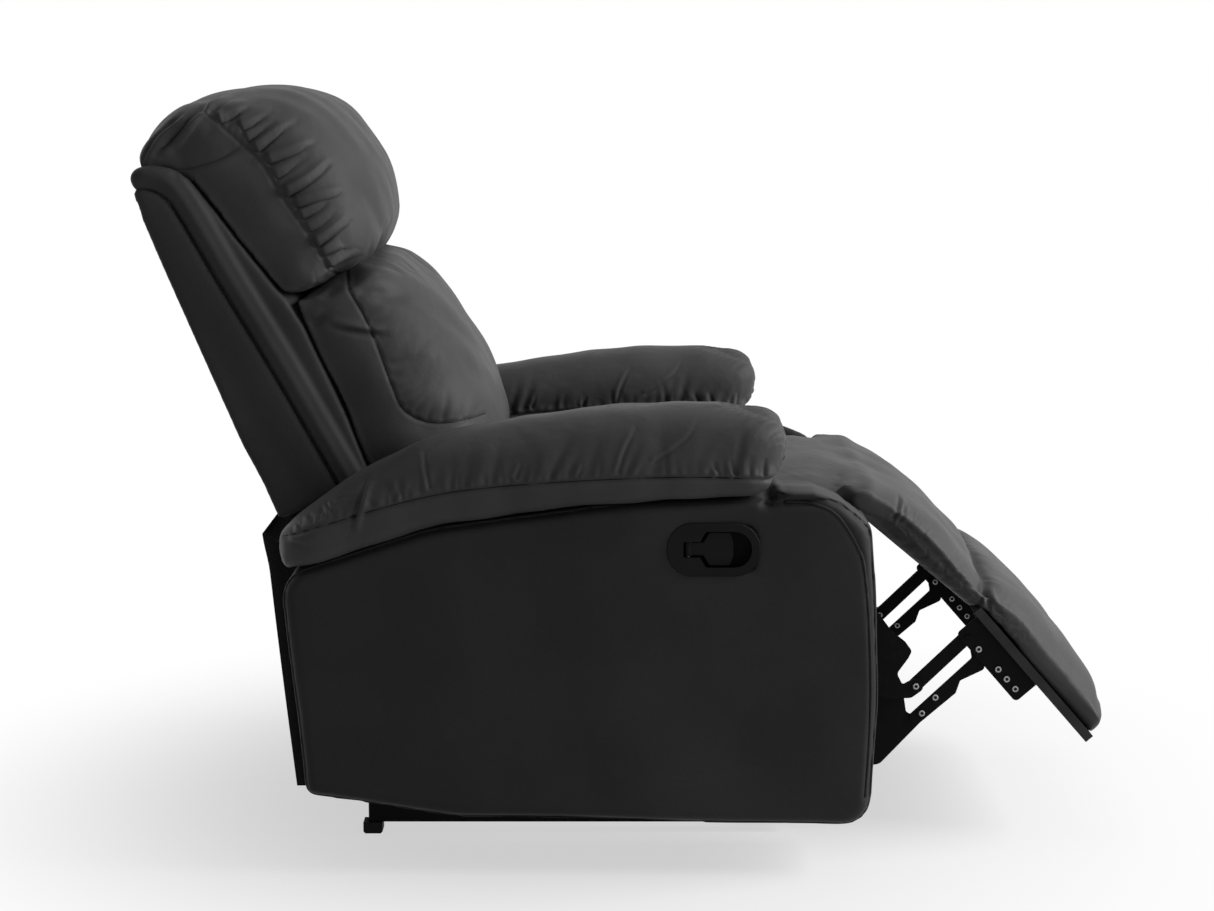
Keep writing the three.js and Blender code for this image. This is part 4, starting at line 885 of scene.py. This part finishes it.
def lean_share(x):
    """How much of the top's lean counts along the arm"""
    return step_up(x, 0.165, 0.2) * (1 - step_up(x, 0.28, 0.298))


def seam_of_arm(line, side):
    """The seam of an arm's front edge, which falls with the top on the left arm"""
    fall = (left_fall + right_rise) * lean_share(line[:, 0] + photo_origin[0]) * step_up(line[:, 1] + 0.03, 0.33, 0.46)
    return line - np.stack((np.zeros(len(line)), fall * (side > 0)), axis=1)


def lowered(points, side):
    """Points of an arm with the corner of its front rounded off; the left arm falls away further outwards"""
    outward = side * points[:, 1]
    drop = np.interp(points[:, 0], drop_places, drop_depths)
    lean = -right_rise * step_up(outward, 0.27, 0.34)
    if side > 0:
        lean = left_fall * step_up(outward, 0.24, 0.385)
    drop = drop + lean * lean_share(points[:, 0])
    fallen = points.copy()
    fallen[:, 2] -= drop * step_up(points[:, 2], 0.33, 0.46)
    return fallen


def face_outline(node, side):
    """The outline of a panel's outer face, as points in a side view"""
    corners = np.array([list(vertex.co) for vertex in frame["nodes"][node].data.vertices])
    outermost = (side * corners[:, 1]).max()
    flat = corners[side * corners[:, 1] > outermost - 0.0006][:, [0, 2]]
    flat = flat[np.hypot(*(flat - latch_middle).T) > latch_reach]
    flat = np.unique(flat.round(5), axis=0)
    middle = (flat.min(axis=0) + flat.max(axis=0)) / 2
    order = np.argsort(np.arctan2(flat[:, 1] - middle[1], flat[:, 0] - middle[0]))
    outline = np.vstack((flat[order], flat[order[:1]]))
    outline = np.insert(outline, 1, side * outermost, axis=1)
    return lowered(outline, side)[:, [0, 2]]


latch_middle, latch_reach = np.array([0.103, 0.411]), 0.075
edge_roll = 0.013
box_seam = smooth_line([
    (216, 468), (230, 468), (249, 466), (268, 460), (281, 450), (290, 438), (298, 425),
    (305, 411), (311, 395), (317, 348), (321, 290), (323, 224), (321, 150), (318, 100),
])
for name, side in (("right", -1), ("left", 1)):
    arm = remeshed(cad_copy([f"arm_box_{name}"], f"arm_box_cover_{name}"), 0.006, 4)
    modified(arm, "SUBSURF", levels=1, render_levels=1)
    points = lowered(points_of(arm), side)
    _, left, _ = beside_line(points[:, [0, 2]], face_outline(f"arm_box_{name}", side))
    inset = np.clip(edge_roll - np.abs(left), 0, edge_roll)
    drop = edge_roll - np.sqrt(edge_roll**2 - inset**2)
    outer_face = step_up(side * points[:, 1], 0.36, 0.38)
    points[:, 1] -= side * outer_face * drop * 0.85
    move_points(arm, points)
    places = on_plane(points, photo_origin, 0)
    seam = seam_of_arm(box_seam, side)
    _, left, _ = beside_line(places, seam)
    heights = outer_face * (groove(left, 0.002, 0.003) + 0.0010 * ripples(places, 0.22, 100 + side))
    press(arm, heights, 0.02)
    # The arm boxes get the darker copy of the leather: painted shade
    dress(arm, panel_leather, 0.35)
    sew(arm, seam, photo_origin, 0, side, 0.0018, panel_leather, sink=-0.2)
    declare_pad(arm, "body", [f"arm_box_{name}"])


# %% [markdown]
# ## Steel, wood and plastic
#
# The linkage is pressed steel dipped in black paint; the springs are bright drawn wire; the frame
# inside is pine; the footrest is backed by a painted board; the latch is moulded matt plastic.

# %% Painted steel
def painted_steel(name, colour, speck, roughness):
    """Black paint on pressed steel: fine orange peel and a few paler scuffs"""
    material, shader, place = new_material(name)
    scuff = add_node(
        material, "ShaderNodeTexNoise", {"Vector": place, "Scale": 60.0, "Detail": 6.0, "Roughness": 0.7}
    ).outputs["Fac"]
    base = add_node(material, "ShaderNodeValToRGB", {"Fac": scuff}, [(0.5, colour), (0.78, speck)])
    peel = add_node(material, "ShaderNodeTexNoise", {"Vector": place, "Scale": 900.0, "Detail": 2.0})
    bump = add_node(material, "ShaderNodeBump", {"Height": peel.outputs["Fac"], "Distance": 0.00008})
    rough = add_node(
        material, "ShaderNodeMapRange", {"Value": scuff, "To Min": roughness - 0.08, "To Max": roughness + 0.16}
    )
    set_inputs(material, shader, {
        "Base Color": base.outputs["Color"], "Roughness": rough.outputs["Result"],
        "Normal": bump.outputs["Normal"], "Specular IOR Level": 0.06,
    })
    return material


black_steel = painted_steel("black stoved paint on steel", "#0b0b0b", "#181818", 0.5)
frame_steel = painted_steel("black dipped paint on tube", "#0d0d0d", "#1a1a1a", 0.5)


# %% Spring wire, wood, board, plastics and the rear cloth
def spring_steel():
    """Drawn steel wire, oiled and a little dull, with fine marks along it"""
    material, shader, place = new_material("oiled drawn wire")
    marks = add_node(material, "ShaderNodeTexNoise", {"Vector": place, "Scale": 220.0, "Detail": 4.0})
    base = add_node(
        material, "ShaderNodeValToRGB", {"Fac": marks.outputs["Fac"]}, [(0.3, "#6e6c68"), (0.7, "#8d8b86")]
    )
    set_inputs(material, shader, {"Base Color": base.outputs["Color"], "Metallic": 1.0, "Roughness": 0.35})
    return material


def sawn_pine():
    """Planed softwood: long pale and brown bands along the rail"""
    material, shader, place = new_material("planed pine")
    stretched = add_node(material, "ShaderNodeMapping", {"Vector": place, "Scale": (9.0, 60.0, 60.0)})
    grain = add_node(
        material, "ShaderNodeTexNoise",
        {"Vector": stretched.outputs["Vector"], "Scale": 3.0, "Detail": 6.0, "Distortion": 1.4},
    ).outputs["Fac"]
    stops = [(0.3, "#b98f5a"), (0.55, "#d3ab74"), (0.75, "#e0bf8c")]
    base = add_node(material, "ShaderNodeValToRGB", {"Fac": grain}, stops)
    bump = add_node(material, "ShaderNodeBump", {"Height": grain, "Distance": 0.0003})
    set_inputs(material, shader, {
        "Base Color": base.outputs["Color"], "Normal": bump.outputs["Normal"], "Roughness": 0.6,
    })
    return material


def moulded_plastic(name, dark, light, roughness):
    """Moulded plastic with a fine spark texture"""
    material, shader, place = new_material(name)
    spark = add_node(material, "ShaderNodeTexNoise", {"Vector": place, "Scale": 1400.0, "Detail": 3.0})
    tone = add_node(material, "ShaderNodeTexNoise", {"Vector": place, "Scale": 25.0, "Detail": 2.0})
    base = add_node(material, "ShaderNodeValToRGB", {"Fac": tone.outputs["Fac"]}, [(0.35, dark), (0.65, light)])
    bump = add_node(material, "ShaderNodeBump", {"Height": spark.outputs["Fac"], "Distance": 0.00012})
    set_inputs(material, shader, {
        "Base Color": base.outputs["Color"], "Normal": bump.outputs["Normal"],
        "Roughness": roughness, "Specular IOR Level": 0.1,
    })
    return material


def spun_cloth():
    """Pressed felt of fine fibres, as used to close the back of a frame"""
    material, shader, place = new_material("spunbonded black cloth")
    fibres = add_node(
        material, "ShaderNodeTexNoise", {"Vector": place, "Scale": 420.0, "Detail": 5.0, "Roughness": 0.8}
    ).outputs["Fac"]
    dots = add_node(material, "ShaderNodeTexVoronoi", {"Vector": place, "Scale": 420.0, "Randomness": 0.1})
    base = add_node(material, "ShaderNodeValToRGB", {"Fac": fibres}, [(0.3, "#1a1a1a"), (0.7, "#2c2c2c")])
    bump = add_node(material, "ShaderNodeBump", {"Height": dots.outputs["Distance"], "Distance": 0.0002})
    set_inputs(material, shader, {
        "Base Color": base.outputs["Color"], "Normal": bump.outputs["Normal"],
        "Roughness": 0.9, "Specular IOR Level": 0.1,
    })
    return material


wire = spring_steel()
pine = sawn_pine()
latch_plastic = moulded_plastic("matt moulded latch plastic", "#090909", "#101010", 0.6)
foot_plastic = moulded_plastic("moulded foot plastic", "#141414", "#1d1d1d", 0.55)
board_paint = moulded_plastic("grey edge paint on board", "#2a2a2a", "#343434", 0.5)
rear_cloth = spun_cloth()


def zinc_plate():
    """Zinc plate on a pressed rivet: pale grey metal, clouded by the bath"""
    material, shader, place = new_material("zinc plated rivet")
    cloud = add_node(
        material, "ShaderNodeTexNoise", {"Vector": place, "Scale": 260.0, "Detail": 5.0, "Roughness": 0.6}
    ).outputs["Fac"]
    base = add_node(material, "ShaderNodeValToRGB", {"Fac": cloud}, [(0.35, "#7c7c79"), (0.65, "#a2a29e")])
    rough = add_node(material, "ShaderNodeMapRange", {"Value": cloud, "To Min": 0.36, "To Max": 0.6})
    set_inputs(material, shader, {
        "Base Color": base.outputs["Color"], "Roughness": rough.outputs["Result"], "Metallic": 1.0,
    })
    return material


zinc = zinc_plate()
# Painted shade: the shallow hollow of each rivet gets a dark paint finish that stands in for the shade in a real
# rivet's hollow
rivet_hollow_shade = painted_steel("painted shade in a rivet's hollow", "#1a1a1a", "#2a2a2a", 0.6)

# %% Finishes on the CAD nodes that stay
finish_of_slot = {
    "base_steel": frame_steel, "link_steel": black_steel, "spring_wire": wire, "frame_wood": pine,
    "board_wood": board_paint, "foot_plastic": foot_plastic, "latch_plastic": latch_plastic,
    "cable_plastic": foot_plastic, "skirt_cloth": rear_cloth, "panel_leather": panel_leather,
    "pad_leather": pad_leather, "core_cloth": panel_leather,
}
for node in frame["nodes"].values():
    slot_name = node.material_slots[0].material.name
    node.material_slots[0].material = finish_of_slot[slot_name]
print("finished nodes:", len(frame["nodes"]))

# %% [markdown]
# ## Rivets
#
# The linkage is riveted with zinc plated tubular rivets: a flat ring round a hollow, whose dark colour
# is painted shade. Each one is a disc, inset and pushed in, laid on the outermost plate at its place
# and joined to the others of its body and side.

# %% Rivets
rivet_radius, rivet_height = 0.0041, 0.0016


def rivet(place, outward):
    """A low disc with a rolled ring and a hollow, facing along Y"""
    bpy.ops.object.select_all(action="DESELECT")
    bpy.ops.mesh.primitive_cylinder_add(
        vertices=18, radius=rivet_radius, depth=rivet_height, location=place,
        rotation=(-outward * math.pi / 2, 0, 0),
    )
    disc = bpy.context.object
    bpy.ops.object.transform_apply(location=True, rotation=True, scale=True)
    disc.data.materials.append(zinc)
    disc.data.materials.append(rivet_hollow_shade)
    outer = max(range(len(disc.data.polygons)), key=lambda at: outward * disc.data.polygons[at].center.y)
    bpy.ops.object.mode_set(mode="EDIT")
    bpy.ops.mesh.select_all(action="DESELECT")
    bpy.ops.object.mode_set(mode="OBJECT")
    disc.data.polygons[outer].select = True
    bpy.ops.object.mode_set(mode="EDIT")
    bpy.ops.mesh.inset(thickness=0.0008)
    bpy.ops.transform.translate(value=(0, outward * 0.0004, 0))
    bpy.ops.mesh.inset(thickness=0.0010)
    bpy.ops.mesh.inset(thickness=0.0004)
    bpy.ops.transform.translate(value=(0, -outward * 0.0006, 0))
    # The hollow gets the dark finish: painted shade
    disc.active_material_index = 1
    bpy.ops.object.material_slot_assign()
    bpy.ops.object.mode_set(mode="OBJECT")
    return disc


bracket_places = np.array([(0.2457, -0.018), (0.2825, -0.016), (0.2997, -0.016), (0.3169, -0.016)])
link_places = np.array([(0.398, 0.200), (0.407, 0.163), (0.424, 0.184)])
rivet_places = np.vstack((
    side_points(bracket_places, foot_origin, foot_turn), side_points(link_places, photo_origin, 0),
))
body_of_plate = {
    "footrest_bracket": "footrest", "upper_link": "upper_links", "rear_link": "rear_links",
    "lower_link": "lower_links", "front_link": "front_links",
}
for side_name, side in (("right", -1), ("left", 1)):
    plates = {}
    for plate, body in body_of_plate.items():
        node = frame["nodes"][f"{plate}_{side_name}"]
        plates[body] = BVHTree.FromObject(node, bpy.context.evaluated_depsgraph_get())
    found = {}
    for x, z in rivet_places:
        for start, outward in ((side * 0.5, side), (0.0, -side)):
            hits = []
            for body, surface in plates.items():
                place, _, _, distance = surface.ray_cast(Vector((x, start, z)), Vector((0, -outward, 0)))
                if place is not None:
                    hits.append((distance, body, place.y))
            if hits:
                _, body, y = min(hits)
                found.setdefault(body, []).append(rivet((x, y, z), outward))
    for body, discs in found.items():
        count = len(discs)
        rivets = joined(discs)
        rivets.name = f"rivets_{body}_{side_name}"
        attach(rivets, body)
        print(rivets.name, count)

# %% [markdown]
# ## Rear cloth
#
# A thin black cloth closes the back of the base. It is stapled to both arms and wraps a little way
# round them, stretched flat.

# %% Rear cloth
skirt_top, skirt_bottom = np.array([-0.434, 0.405]), np.array([-0.400, 0.076])
skirt_half, wing_front = 0.2477, -0.352
# How high the wings' top and bottom edges run as they go forwards
wing_top_shares, wing_bottom_shares = ([0, 0.45, 1], [1, 0.94, 0.86]), ([0, 0.6, 1], [0, 0, 0.09])
wing_steps, rear_steps, up_steps = 6, 48, 32


def skirt_point(across, up):
    """A point of the cloth: across runs over one wing from -2 to -1, the rear to 1 and the other wing to 2"""
    forward = max(abs(across) - 1, 0)
    share = np.interp(forward, *wing_bottom_shares) * (1 - up) + np.interp(forward, *wing_top_shares) * up
    rear_x, z = skirt_bottom + (skirt_top - skirt_bottom) * share
    slack = 0.0015 * math.cos(across * 2.2) * math.sin(math.pi * up) * (1 - forward)
    top_room = 0.004 * step_up(up, 0.85, 1.0) * (1 - forward)
    x = rear_x + 0.002 + slack - top_room + forward * (wing_front - rear_x)
    return (x + photo_origin[0], np.clip(across, -1, 1) * skirt_half, z)


left_wing, rear_run = np.linspace(-2, -1, wing_steps + 1)[:-1], np.linspace(-1, 1, rear_steps + 1)
columns = np.concatenate((left_wing, rear_run, np.linspace(1, 2, wing_steps + 1)[1:]))
skirt_rows = np.linspace(0, 1, up_steps + 1)
corners = [skirt_point(across, up) for up in skirt_rows for across in columns]
count = len(columns)
faces = [
    (row * count + at, row * count + at + 1, (row + 1) * count + at + 1, (row + 1) * count + at)
    for row in range(up_steps) for at in range(count - 1)
]
skirt_mesh = bpy.data.meshes.new("rear_cloth_sheet")
skirt_mesh.from_pydata(corners, [], faces)
skirt = bpy.data.objects.new("rear_cloth_sheet", skirt_mesh)
bpy.context.collection.objects.link(skirt)
modified(skirt, "SOLIDIFY", thickness=0.0012, offset=0)
dress(skirt, rear_cloth)
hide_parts("back_skirt")
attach(skirt, "body")
